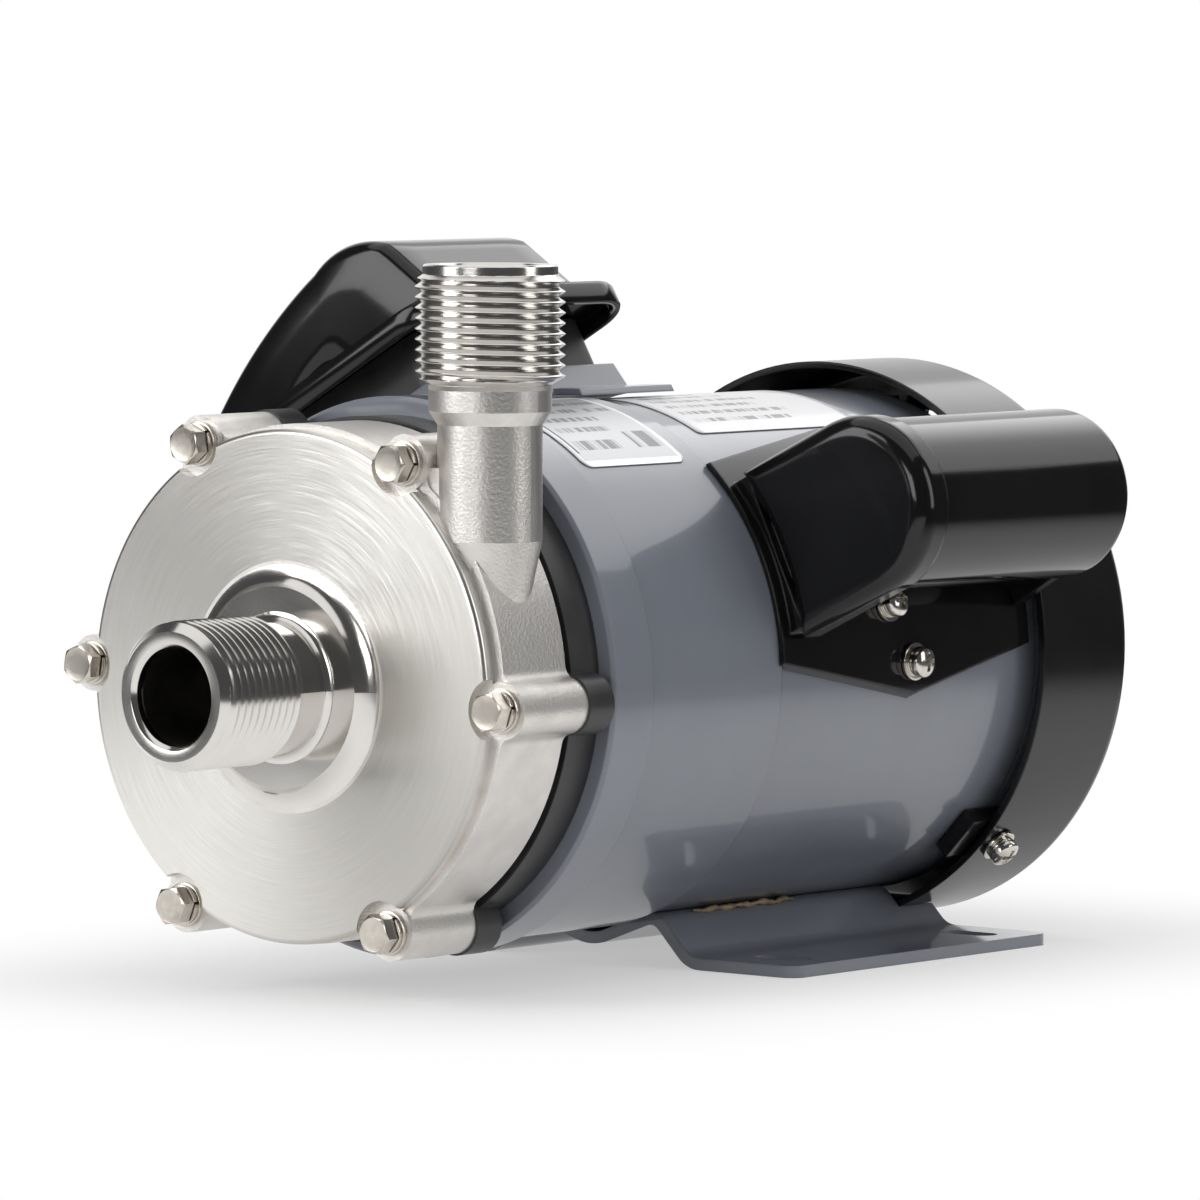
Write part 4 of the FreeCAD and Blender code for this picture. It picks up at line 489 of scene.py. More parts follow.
@dataclass(frozen=True)
class Lined(Finish):
    """A machined or brushed metal, whose normal leans across its lines.

    The lean is the noise of the position counted across the lines. Along a line the noise
    changes slowly, so it spreads a highlight across the lines as brushing does. A turn has
    ring_parts or turn_parts changes for each unit of its direction, and an upright's lines
    change every run millimetres.
    """

    lay: Lay = Lay.ROUND_AXIS
    line: float = 0.12
    lean: float = 0.2
    centre: tuple[float, float] = (0.0, 0.0)
    ring_parts: float = 3.0
    turn_parts: float = 2.0
    run: float = 8.0

    def normal(self, graph: Graph) -> Signal:
        """The surface's normal plus lean times noise, across the lines."""
        across, along, up = graph.from_axis()
        radius = (across * across + up * up) ** 0.5
        x, z = across / radius, up / radius
        if self.lay is Lay.RINGS:
            place = graph.join(radius / self.line, x * self.ring_parts, z * self.ring_parts)
            way = graph.join(x, 0.0, z)
        elif self.lay is Lay.ROUND_AXIS:
            place = graph.join(along / self.line, x * self.turn_parts, z * self.turn_parts)
            way = graph.join(0.0, 1.0, 0.0)
        else:
            place = graph.join(up / self.line, (across - self.centre[0]) / self.run,
                               (along - self.centre[1]) / self.run)
            way = graph.join(0.0, 0.0, 1.0)
        amount = (graph.noise(1.0, 3.0, place) - 0.5) * self.lean
        fine = graph.relief(graph.noise(self.grain, 2.0), self.depth)
        lean = graph.node("ShaderNodeVectorMath", {0: way, "Scale": amount}, operation="SCALE")
        total = graph.node("ShaderNodeVectorMath", [fine, lean], operation="ADD")
        return graph.node("ShaderNodeVectorMath", [total], operation="NORMALIZE")


@dataclass(frozen=True)
class PaintedFans(Lined):
    """A face brushed in rings, with two soft fan-shaped patches of painted highlight on painted
    shade in its colour, standing in for the light that such a face shows.
    """

    # fan is the angle of the painted highlight, and level is how much painted highlight the whole
    # face gets
    fan: float = 42.0
    level: float = 0.35
    streak: float = 0.3
    streak_width: float = 0.35

    def tint(self, graph: Graph, patches: Signal) -> Signal:
        """Paints the light: mixes the dark second colour, which is painted shade, with the bright
        first colour, which is painted highlight, by 0.5 cos 2 (a - fan) + level + streaks of brush
        lines.

        With x and z over the radius, cos 2 (a - fan) is (x x - z z) cos 2 fan + 2 x z sin 2 fan.
        """
        across, _, up = graph.from_axis()
        square = across * across + up * up
        radius = square ** 0.5
        twice = math.radians(2.0 * self.fan)
        # painted highlight where cos 2 (a - fan) is high, painted shade where it is low
        painted_fans = ((across * across - up * up) / square * math.cos(twice)
                + across * up / square * (2.0 * math.sin(twice)))
        place = graph.join(radius / self.streak_width, across / radius * self.ring_parts,
                           up / radius * self.ring_parts)
        streaks = graph.noise(1.0, 2.0, place) * self.streak
        return graph.blend(self.second, self.colour, painted_fans * 0.5 + self.level + streaks)


@dataclass(frozen=True)
class Layered(Finish):
    """Thin sheets or wires side by side, seen as lines across a direction."""

    pitch: float = 0.5
    along_axis: bool = True
    wobble: float = 6.0

    def normal(self, graph: Graph) -> Signal:
        """Ridges whose height is the size of the sine of the position over the pitch."""
        across, along, up = graph.from_axis()
        place = along if self.along_axis else (across * across + up * up) ** 0.5
        uneven = graph.noise(self.wobble, 2.0) * (0.5 * self.pitch)
        wave = ((place + uneven) * (math.pi / self.pitch)).calculate("SINE")
        return graph.relief(abs(wave), self.depth)


@dataclass(frozen=True)
class Printed(Finish):
    """A metal or paper label with a border and rows of plain bars in place of print.

    Each row is (low, high, start, end, words): its height and length as shares of the label, and
    how many bars it is cut into. Blocks are solid patches of the same kind. The print's edges
    are soft over a few thousandths of the label.
    """

    ink: Colour = (0.1, 0.1, 0.11)
    frame_colour: Colour = (0.86, 0.86, 0.86)
    border: float = 0.03
    wide: float = 1.8
    rows: tuple[tuple[float, float, float, float, float], ...] = ()
    blocks: tuple[tuple[float, float, float, float], ...] = ()
    stagger: float = 0.37
    bar: tuple[float, float, float] = (0.08, 0.92, 0.04)
    faint: float = 0.25
    dark: float = 0.75

    def tint(self, graph: Graph, patches: Signal) -> Signal:
        """The print: a border, blocks, and rows of bars with uneven gaps."""
        u, v, _ = graph.parts("UV")
        mark: Number = 0.0
        for low, high, start, end, words in self.rows:
            cell = (u * words + self.stagger * words * low).calculate("FRACT")
            uneven = graph.noise(0.04, 1.0, graph.join(u, low * 7.0, 0.0)).step(0.42, 0.5)
            line = v.within(low, high, 0.004) * u.within(start, end, 0.002)
            mark = line * cell.within(*self.bar) * uneven.larger(self.faint) * self.dark + mark
        for low, high, start, end in self.blocks:
            mark = v.within(low, high, 0.006) * u.within(start, end, 0.004) + mark
        side = self.border / self.wide
        inner = u.within(side, 1.0 - side, 0.003) * v.within(self.border, 1.0 - self.border, 0.005)
        paper = graph.blend(self.colour, self.second, patches)
        return graph.blend(graph.blend(self.frame_colour, paper, inner), self.ink, mark)


class Metal:
    """Finishes of the bare metal pieces."""

    # The brushed face's first colour is painted highlight and its second is painted shade, laid
    # out in fan-shaped patches round the axis
    BRUSHED_FACE = PaintedFans("brushed_face_painted_fans", (0.86, 0.84, 0.80), (0.50, 0.485, 0.46), 1.0,
                          0.31, 0.02, 24.0, 0.35, 0.003, lay=Lay.RINGS, line=0.09, lean=0.28)
    POLISHED = Lined("polished_inlet", (0.74, 0.72, 0.69), (0.70, 0.68, 0.65), 1.0, 0.15, 0.03,
                     12.0, 0.4, 0.002, line=0.2, lean=0.02)
    POLISHED_UPRIGHT = Lined("polished_outlet", (0.74, 0.72, 0.69), (0.70, 0.68, 0.65), 1.0,
                             0.18, 0.03, 12.0, 0.4, 0.003, lay=Lay.ROUND_UPRIGHT, line=0.2,
                             lean=0.06, centre=(47.6, 13.5))
    CAST = Finish("blasted_casting", (0.76, 0.735, 0.70), (0.70, 0.675, 0.645), 1.0, 0.42, 0.05,
                  6.0, 0.7, 0.085)
    # The bore's dark colour is painted shade inside the ports, not the metal's own colour
    BORE_SHADE = Finish("bore_painted_shade", (0.17, 0.16, 0.15), (0.12, 0.113, 0.106), 1.0, 0.42, 0.05, 6.0,
                  0.6, 0.02)
    BOLT = Finish("nickel_bolts", (0.66, 0.62, 0.56), (0.58, 0.54, 0.48), 1.0, 0.24, 0.06, 2.0,
                  0.25, 0.006)
    PLATED = Finish("nickel_screws", (0.74, 0.71, 0.66), (0.62, 0.58, 0.52), 1.0, 0.16, 0.05,
                    1.5, 0.3, 0.004)
    TURNED = Lined("turned_stainless", (0.60, 0.60, 0.59), (0.55, 0.55, 0.54), 1.0, 0.24, 0.04,
                   9.0, 0.4, 0.004, line=0.15, lean=0.12)
    STEEL = Lined("turned_steel", (0.50, 0.50, 0.50), (0.42, 0.42, 0.43), 1.0, 0.28, 0.05, 9.0,
                  0.4, 0.005, line=0.15, lean=0.14)
    BEARING = Finish("ground_bearing_steel", (0.64, 0.64, 0.65), (0.58, 0.58, 0.60), 1.0, 0.12,
                     0.03, 5.0, 0.3, 0.002)
    ALUMINIUM = Finish("cast_aluminium", (0.62, 0.63, 0.64), (0.52, 0.53, 0.54), 1.0, 0.42, 0.06,
                       6.0, 0.5, 0.03)
    BRASS = Finish("brass_screws", (0.62, 0.47, 0.22), (0.55, 0.40, 0.18), 1.0, 0.26, 0.05, 2.0,
                   0.3, 0.005)
    LAMINATION = Layered("stacked_laminations", (0.30, 0.31, 0.33), (0.22, 0.22, 0.24), 0.9,
                         0.45, 0.06, 8.0, 0.5, 0.05)
    COPPER = Layered("wound_copper", (0.60, 0.26, 0.12), (0.48, 0.18, 0.08), 0.85, 0.34, 0.06,
                     5.0, 0.5, 0.15, coat=0.5, pitch=0.9, along_axis=False)
    MAGNET = Finish("plated_magnet", (0.34, 0.34, 0.35), (0.26, 0.26, 0.27), 0.9, 0.38, 0.05,
                    5.0, 0.4, 0.01)


class Paint:
    """Finishes of the painted, moulded and rubber pieces."""

    GREY = Finish("grey_motor_paint", (0.180, 0.194, 0.226), (0.168, 0.181, 0.212), 0.0, 0.34,
                  0.04, 22.0, 2.2, 0.010, coat=0.8, coat_roughness=0.07, edge=0.8)
    BRACKET = Finish("satin_black_bracket", (0.020, 0.020, 0.021), (0.030, 0.030, 0.031), 0.0,
                     0.42, 0.06, 9.0, 0.6, 0.02, coat=0.15, coat_roughness=0.3, edge=0.5)
    COVER = Finish("black_cover_paint", (0.006, 0.006, 0.0065), (0.008, 0.008, 0.0085), 0.0,
                   0.22, 0.03, 16.0, 1.8, 0.008, coat=0.2, coat_roughness=0.08, specular=0.35,
                   edge=0.8)
    GLOSS = Finish("gloss_black_moulding", (0.005, 0.005, 0.0055), (0.007, 0.007, 0.0075), 0.0,
                   0.11, 0.03, 20.0, 3.5, 0.006, coat=0.2, coat_roughness=0.03, specular=0.32,
                   edge=1.0)
    BOX = Finish("black_terminal_box", (0.020, 0.020, 0.021), (0.028, 0.028, 0.029), 0.0, 0.38,
                 0.04, 10.0, 0.5, 0.012)
    FAN = Finish("black_fan_plastic", (0.030, 0.030, 0.032), (0.040, 0.040, 0.042), 0.0, 0.45,
                 0.05, 10.0, 0.6, 0.012)
    RUBBER = Finish("black_rubber", (0.024, 0.024, 0.024), (0.036, 0.036, 0.036), 0.0, 0.62,
                    0.06, 4.0, 0.3, 0.02, specular=0.35)
    BUSH = Finish("carbon_bush", (0.045, 0.045, 0.048), (0.060, 0.060, 0.063), 0.0, 0.40, 0.05,
                  3.0, 0.25, 0.008)
    CERAMIC = Finish("white_ceramic", (0.80, 0.78, 0.73), (0.76, 0.74, 0.69), 0.0, 0.24, 0.04,
                     5.0, 0.3, 0.004, coat=0.2)
    TERMINAL = Finish("pale_terminal_plastic", (0.62, 0.60, 0.54), (0.56, 0.54, 0.48), 0.0,
                      0.42, 0.04, 6.0, 0.4, 0.008)
    SEALANT = Finish("tan_sealant", (0.36, 0.27, 0.15), (0.22, 0.15, 0.08), 0.0, 0.42, 0.10,
                     2.5, 0.7, 0.08, coat=0.2)
    NAMEPLATE = Printed("silver_nameplate", (0.50, 0.51, 0.52), (0.56, 0.57, 0.58), 0.55, 0.36,
                        0.04, 14.0, 0.5, 0.004, border=0.055, wide=1.5, rows=(
                            (0.74, 0.84, 0.10, 0.52, 9.0), (0.58, 0.64, 0.10, 0.62, 14.0),
                            (0.44, 0.50, 0.10, 0.66, 13.0), (0.30, 0.36, 0.10, 0.60, 15.0),
                            (0.16, 0.22, 0.10, 0.66, 12.0), (0.66, 0.84, 0.68, 0.93, 5.0),
                            (0.30, 0.36, 0.70, 0.93, 16.0), (0.16, 0.22, 0.70, 0.93, 14.0)),
                        blocks=((0.13, 0.87, 0.045, 0.065),))
    STICKER = Printed("white_sticker", (0.78, 0.78, 0.79), (0.82, 0.82, 0.83), 0.0, 0.36, 0.04,
                      14.0, 0.5, 0.004, coat=0.3, border=0.0, rows=(
                          (0.78, 0.84, 0.08, 0.66, 12.0), (0.64, 0.70, 0.08, 0.72, 14.0),
                          (0.50, 0.56, 0.08, 0.62, 13.0), (0.36, 0.42, 0.08, 0.70, 15.0),
                          (0.22, 0.28, 0.08, 0.58, 12.0), (0.10, 0.15, 0.08, 0.50, 16.0)))


FINISHES: dict[Finish, tuple[str, ...]] = {
    Paint.RUBBER: ("casing_o_ring", "cable_grommet"),
    Metal.TURNED: ("rear_casing", "impeller", "magnet_capsule"),
    Metal.MAGNET: ("driven_magnet", "drive_magnets"),
    Paint.BUSH: ("impeller_bush",),
    Paint.CERAMIC: ("impeller_shaft", "front_thrust_ring", "rear_thrust_ring"),
    Paint.BRACKET: ("clamp_bracket",),
    Metal.BOLT: ("bracket_screws",),
    Metal.STEEL: ("drive_hub", "motor_shaft", "wave_spring"),
    Paint.GREY: ("front_bell", "motor_tube", "rear_end_shield", "foot_plate"),
    Metal.LAMINATION: ("stator_core",),
    Metal.COPPER: ("stator_windings",),
    Metal.ALUMINIUM: ("rotor_core",),
    Metal.BEARING: ("front_bearing_outer_ring", "front_bearing_inner_ring", "front_bearing_balls",
                    "rear_bearing_outer_ring", "rear_bearing_inner_ring", "rear_bearing_balls"),
    Paint.FAN: ("cooling_fan",),
    Paint.COVER: ("fan_cover", "fan_cover_lugs"),
    Metal.PLATED: ("hood_screws",),
    Paint.TERMINAL: ("terminal_block",),
    Metal.BRASS: ("terminal_screws",),
}


def dress(node: str, finish: Finish) -> None:
    """Gives a CAD node its finish and reports it."""
    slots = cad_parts[node].data.materials
    if len(slots) == 0:
        slots.append(finish.material())
    for index in range(len(slots)):
        slots[index] = finish.material()
    log.info("%s: %s", node, finish.name)


def settle(piece: bpy.types.Object, slot: str, finish: Finish, *nodes: str) -> None:
    """Finishes a new piece, ties it to the pump's body and reports it.

    Args:
        piece: The new piece.
        slot: The record's material slot; not used.
        finish: Its finish.
        nodes: The CAD nodes that it stands for.
    """
    if len(piece.data.materials) == 0:
        piece.data.materials.append(finish.material())
    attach(piece, BODY)
    if nodes:
        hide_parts(*nodes)
    log.info("%s: %d faces, %s", piece.name, len(piece.data.polygons), finish.name)


def merged_copy(node: str, name: str,
                move: Callable[[np.ndarray], np.ndarray]) -> bpy.types.Object:
    """A closed copy of a CAD node without materials, its shading kept and its points moved.

    Args:
        node: The CAD node.
        name: Name of the copy.
        move: Gives the new points for an array of points in pump coordinates.

    Returns:
        The new object.
    """
    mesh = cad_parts[node].data.copy()
    mesh.name = name
    mesh.materials.clear()
    kept = mesh.attributes.new("kept_normal", "FLOAT_VECTOR", "CORNER")
    kept.data.foreach_set("vector", read(mesh.corner_normals, "vector"))
    spots = to_row(move(from_row(read(mesh.vertices, "co"))))
    mesh.vertices.foreach_set("co", spots.astype(np.float32).ravel())
    weld(mesh, False)
    kept = mesh.attributes["kept_normal"]
    mesh.normals_split_custom_set(read(kept.data, "vector").reshape(-1, 3).tolist())
    mesh.attributes.remove(mesh.attributes["kept_normal"])
    return add_object(name, mesh)


# ---------------------------------------------------------------- pump end


@dataclass
class PipeThread:
    """A threaded sleeve: the outside of a pipe end with its thread, mouth ring and bore."""

    name: str
    spot: Spot
    length: float
    foot_radius: float
    major: float = 16.62
    depth: float = 1.479
    pitch: float = 2.309
    pilot_radius: float = 14.7
    pilot: float = 0.0
    lead: float = 2.0
    bore: float = 10.85
    chamfer: float = 1.0
    rim: float = 0.35
    foot_slope: float = 1.7
    bed_radius: float = 12.6
    bed_start: float = 3.0
    rounding: float = 0.12
    columns: int = 144
    rows_per_turn: int = 22

    def outside(self) -> Grid:
        """The thread from its foot to its mouth, on rows that follow the helix.

        At the row s and the angle a the distance to the mouth is s + pitch a / 2 pi, cut to the
        length. The radius is major - depth * w, where w is a triangle wave of s / pitch, softened
        by w * w * (3 - 2 w) and mixed half and half with the plain triangle. Both ends are cut by
        a cone, and the pilot is a plain length next to the mouth.
        """
        turns = math.ceil(self.length / self.pitch) + 1
        row = np.linspace(turns - 1.0, -1.0, turns * self.rows_per_turn + 1)[:, None] * self.pitch
        angle = whole_turn(self.columns + 1, True)
        distance = np.clip(row + self.pitch * angle / (2.0 * math.pi), 0.0, self.length)
        phase = row / self.pitch + 0.0 * angle
        wave = np.abs(2.0 * (phase - np.floor(phase)) - 1.0)
        soft = 0.5 * wave + 0.5 * smooth_step(wave, 0.0, 1.0)
        radius = self.major - self.depth * soft
        foot_cone = self.foot_radius + (self.length - distance) * self.foot_slope
        slope = (self.major - self.pilot_radius) / self.lead
        mouth_cone = self.pilot_radius + np.maximum(distance - self.pilot, 0.0) * slope
        pilot_cone = self.pilot_radius - self.rim + distance
        radius = np.minimum(np.minimum(radius, foot_cone), np.minimum(mouth_cone, pilot_cone))
        return Grid(self.spot.points(angle, radius, -distance), round=False)

    def inside(self) -> Grid:
        """The mouth ring, its chamfer, the bore wall and the back on its bed."""
        mouth = outline_to_rows([
            (self.pilot_radius - self.rim, 0.0), (self.bore + self.chamfer, 0.0),
            (self.bore, -self.chamfer), (self.bore, -self.bed_start),
            (self.bed_radius, -self.bed_start), (self.bed_radius, -self.length),
            (self.foot_radius, -self.length)], self.rounding)
        angle = whole_turn(self.columns + 1, True)
        return Grid(self.spot.points(angle, mouth[:, :1], mouth[:, 1:]), round=False)

    def build(self, finish: Finish) -> None:
        """Makes the closed sleeve."""
        settle(make_piece(self.name, [self.outside(), self.inside()]), "cast_stainless", finish)


@dataclass
class PumpCasing:
    """The cast stainless casing with its brushed face, polished hub and threaded ends."""

    inlet_mouth: float = -38.4
    inlet_thread_end: float = -13.5
    inlet_lap: float = 0.9
    inlet_foot: float = 14.8
    inlet_slack: float = 0.95
    inlet_reach: float = 20.0
    outlet_side: float = 47.6
    outlet_back: float = 13.5
    outlet_top: float = 94.7
    outlet_thread_foot: float = 68.2
    outlet_foot: float = 13.4
    outlet_slack: float = 1.05
    outlet_reach: float = 25.0
    thread_bed: float = 14.9
    collar: float = 13.6
    mouth_sink: float = 1.0
    mouth_slack: float = 0.01
    hub: float = 28.0
    hub_lap: float = 0.3
    hub_behind: float = 0.005
    face: float = 57.6
    face_depth: float = 1.3
    facing: float = 0.1
    bore: float = 11.4
    hub_bore: float = 11.5
    outlet_bore_low: float = 40.0

    def build(self) -> None:
        """Makes the casing body, a merged copy with plain beds, and its two threaded ends."""
        piece = merged_copy("pump_casing", "casing_body", self.sink_beds)
        self.share_finishes(piece.data)
        settle(piece, "cast_stainless", Metal.CAST, "pump_casing")
        inlet = Spot((0.0, self.inlet_mouth, 0.0), (0.0, -1.0, 0.0), (1.0, 0.0, 0.0))
        PipeThread("inlet_thread", inlet, self.inlet_thread_end + self.inlet_lap
                   - self.inlet_mouth, self.inlet_foot).build(Metal.POLISHED)
        outlet = Spot((self.outlet_side, self.outlet_back, self.outlet_top), (0.0, 0.0, 1.0),
                      (1.0, 0.0, 0.0))
        PipeThread("outlet_thread", outlet, self.outlet_top - self.outlet_thread_foot,
                   self.outlet_foot, pilot_radius=14.9, pilot=2.2, lead=1.2
                   ).build(Metal.POLISHED_UPRIGHT)

    def sink_beds(self, spots: np.ndarray) -> np.ndarray:
        """Draws in the thread lengths to their bed radii, and the mouth rings by a millimetre.

        A point at radius r from the port's axis moves to the bed radius where r is over it,
        along the same direction.
        """
        least = 1e-6
        x, y, z = spots.T
        radius = np.hypot(x, z)
        bed = (y < self.inlet_thread_end + self.inlet_slack) & (radius > self.thread_bed)
        factor = np.where(bed, self.thread_bed / np.maximum(radius, least), 1.0)
        x, z = x * factor, z * factor
        mouth = (np.abs(y - self.inlet_mouth) < self.mouth_slack) & (radius < self.inlet_reach)
        y = np.where(mouth, y + self.mouth_sink, y)
        away_x, away_y = x - self.outlet_side, y - self.outlet_back
        radius = np.hypot(away_x, away_y)
        high = (z > self.outlet_thread_foot - self.outlet_slack) & (radius < self.outlet_reach)
        factor = np.where(high & (radius > self.collar), self.collar / np.maximum(radius, least),
                          1.0)
        x, y = self.outlet_side + away_x * factor, self.outlet_back + away_y * factor
        z = np.where(np.abs(z - self.outlet_top) < self.mouth_slack, z - self.mouth_sink, z)
        return np.stack([x, y, z], axis=1)

    def share_finishes(self, mesh: bpy.types.Mesh) -> None:
        """Gives each face its finish: brushed front with fan-shaped painted highlights, polished
        hub, bores darkened with painted shade, cast elsewhere.
        """
        for finish in (Metal.CAST, Metal.BRUSHED_FACE, Metal.POLISHED, Metal.BORE_SHADE):
            mesh.materials.append(finish.material())
        x, y, z = from_row(read(mesh.polygons, "center")).T
        outward = read(mesh.polygons, "normal").reshape(-1, 3)[:, 1] < self.facing
        radius = np.hypot(x, z)
        front = (np.abs(y) < self.face_depth) & (radius > self.hub) & (radius < self.face)
        hub = (y < -self.hub_behind) & (radius <= self.hub + self.hub_lap)
        # Faces inside the inlet and outlet bores get painted shade.
        in_outlet = np.hypot(x - self.outlet_side, y - self.outlet_back) < self.bore
        bore = (radius < self.bore) | (in_outlet & (z > self.outlet_bore_low))
        index = np.select([bore, hub & (radius > self.hub_bore), front & outward], [3, 2, 1], 0)
        mesh.polygons.foreach_set("material_index", index.astype(np.int32))


@dataclass
class HexBolts:
    """The six casing bolts with their spring and flat washers."""

    circle: float = 60.15
    first: float = -2.3
    flats: float = 8.0
    head: float = 3.5
    edge_circle: float = 0.47
    cone: float = 28.0
    dish: float = 0.10
    collar: float = 3.5
    length: float = 32.0
    shank: float = 2.5
    tip: float = 0.8
    washer: float = 5.0
    washer_thickness: float = 1.0
    spring: float = 4.6
    spring_thickness: float = 1.3
    spring_edge: float = 0.14
    spring_lift: float = 0.12
    gap: float = 4.0
    play: float = 0.15
    seat: float = 2.8
    turns: tuple[float, ...] = (12.0, 0.0, 38.0, 22.0, 8.0, 50.0)

    def spots(self, along: float) -> list[Spot]:
        """The bolt places at one length, with each bolt turned a little differently."""
        made = []
        for number, turn in enumerate(self.turns):
            angle = math.radians(self.first + 360.0 / len(self.turns) * number)
            side = math.radians(turn)
            centre = (self.circle * math.cos(angle), along, self.circle * math.sin(angle))
            made.append(Spot(centre, (0.0, -1.0, 0.0), (math.cos(side), 0.0, math.sin(side))))
        return made

    def bolt(self, spot: Spot) -> Grid:
        """One bolt from the middle of its head to the end of its shank.

        The head's radius at angle a is half flats / cos(a mod 60 - 30), and a cone of 28 degrees
        from the top's edge circle cuts its corners. A slight hollow lies inside the edge circle.
        """
        angle = whole_turn(144)[0]
        hexagon = 0.5 * self.flats / np.cos(np.mod(angle, math.pi / 3.0) - math.pi / 6.0)
        top = self.edge_circle * self.flats
        brim = self.head - (hexagon - top) * math.tan(math.radians(self.cone))
        rows = [(0.0, self.head - self.dish), (0.55 * top, self.head - self.dish),
                (0.90 * top, self.head - 0.4 * self.dish), (top, self.head),
                (hexagon - 0.10, brim + 0.05), (hexagon, brim - 0.12), (hexagon, 0.22),
                (hexagon - 0.12, 0.10), (self.collar, 0.10), (self.collar - 0.05, 0.0),
                (self.shank, 0.0), (self.shank, self.tip - self.length),
                (self.shank - self.tip, -self.length), (0.0, -self.length)]
        radii, heights = (np.array([np.broadcast_to(row[part], angle.shape) for row in rows])
                          for part in (0, 1))
        return Grid(spot.points(angle, radii, heights))

    def spring_washer(self, spot: Spot) -> Grid:
        """A split ring: a square section carried from one side of its gap to the other.

        The lift of the section is 0.12 mm at one end and -0.12 mm at the other.
        """
        section = ring_section(self.shank + self.play, self.spring, self.spring_edge,
                               self.spring_thickness - self.spring_edge, 0.4, 0.12)
        angle = np.radians(np.linspace(self.gap, 360.0 - self.gap, 73))[None, :]
        lift = np.linspace(self.spring_lift, -self.spring_lift, 73)[None, :]
        body = spot.points(angle, section[:, :1], section[:, 1:] + lift)
        middle = np.repeat(body.mean(axis=0, keepdims=True), body.shape[0], axis=0)
        return Grid(np.concatenate([middle[:, :1], body, middle[:, -1:]], axis=1), round=False,
                    looped=True)

    def build(self) -> None:
        """Makes the three pieces."""
        washer_front = self.seat - self.washer_thickness
        spring_front = washer_front - self.spring_thickness
        bolts = [self.bolt(spot) for spot in self.spots(spring_front)]
        springs = [self.spring_washer(spot) for spot in self.spots(washer_front)]
        flats = [flat_ring(spot, self.shank + self.play, self.washer, self.washer_thickness, 0.22,
                           64) for spot in self.spots(self.seat)]
        for name, node, grids, sharp in (
                ("hex_bolts", "casing_bolts", bolts, 24.0),
                ("spring_washers", "casing_spring_washers", springs, 35.0),
                ("flat_washers", "casing_washers", flats, 35.0)):
            settle(make_piece(name, grids, sharp), "bolt_steel", Metal.BOLT, node)


# ---------------------------------------------------------------- motor


@dataclass
class PanScrews:
    """Small pan head screws that point at the pump axis, with their washers."""

    name: str
    node: str
    places: tuple[tuple[float, float], ...]
    seat: float
    depth: float
    shank: float = 2.0
    head: float = 3.6
    height: float = 2.8
    rim: float = 0.45
    crown: float = 0.97
    edge: float = 0.12
    tip: float = 0.5
    washer: float = 4.4
    washer_thickness: float = 0.9
    spring: float = 3.5
    spring_thickness: float = 1.1
    play: float = 0.1
    recess: float = 1.5
    slot_edge: tuple[float, float] = (0.42, 0.56)
    slot_end: tuple[float, float] = (1.7, 2.25)
    slot_length: float = 2.2

    def spot(self, turn: float, along: float, radius: float) -> Spot:
        """A place on the housing, with its axis away from the pump axis."""
        angle = math.radians(turn)
        out = (math.cos(angle), 0.0, math.sin(angle))
        return Spot((radius * out[0], along, radius * out[2]), out, (0.0, 1.0, 0.0))

    def screw(self, spot: Spot, depth: float) -> Grid:
        """One screw with a domed head and a cross recess.

        The head's height is h * (rim + (1 - rim) * sqrt(1 - crown (r / R) ** 2)). In the four
        arms of the recess, where r * |sin| of the angle to the arm is under half a slot, it drops
        by a depth that falls from the middle to the arm's end.
        """
        angle = whole_turn(120)
        share = np.concatenate([np.linspace(0.0, 0.7, 20), [0.78, 0.86, 0.93, 0.98, 1.0]])[:, None]
        radius = share * self.head
        round_top = np.sqrt(1.0 - self.crown * share ** 2)
        dome = self.height * (self.rim + (1.0 - self.rim) * round_top)
        arm = np.mod(angle + math.pi / 4.0, math.pi / 2.0) - math.pi / 4.0
        side = np.abs(radius * np.sin(arm))
        reach = radius * np.cos(arm)
        slot = (1.0 - smooth_step(side, *self.slot_edge)) * (
            1.0 - smooth_step(reach, *self.slot_end))
        top = dome - self.recess * slot * (1.0 - 0.3 * reach / self.slot_length)
        lower = np.array([[self.head, self.edge], [self.head - self.edge, 0.0], [self.shank, 0.0],
                          [self.shank, self.tip - depth], [self.shank - self.tip, -depth],
                          [0.0, -depth]])
        under = spot.points(angle, lower[:, :1], lower[:, 1:])
        return Grid(np.concatenate([spot.points(angle, radius, top), under]))

    def build(self) -> None:
        """Makes the screws and their washers."""
        stack = self.washer_thickness + self.spring_thickness
        screws = []
        rings = []
        for turn, along in self.places:
            screws.append(self.screw(self.spot(turn, along, self.seat + stack),
                                     self.depth + stack))
            for level, outer, thickness in (
                    (self.seat, self.washer, self.washer_thickness),
                    (self.seat + self.washer_thickness, self.spring, self.spring_thickness)):
                rings.append(flat_ring(self.spot(turn, along, level), self.shank + self.play,
                                       outer, thickness, 0.18, 56))
        for name, node, grids, sharp in (("_pan_screws", "_screws", screws, 28.0),
                                         ("_screw_washers", "_washers", rings, 35.0)):
            settle(make_piece(self.name + name, grids, sharp), "plated_screw", Metal.PLATED,
                   self.node + node)


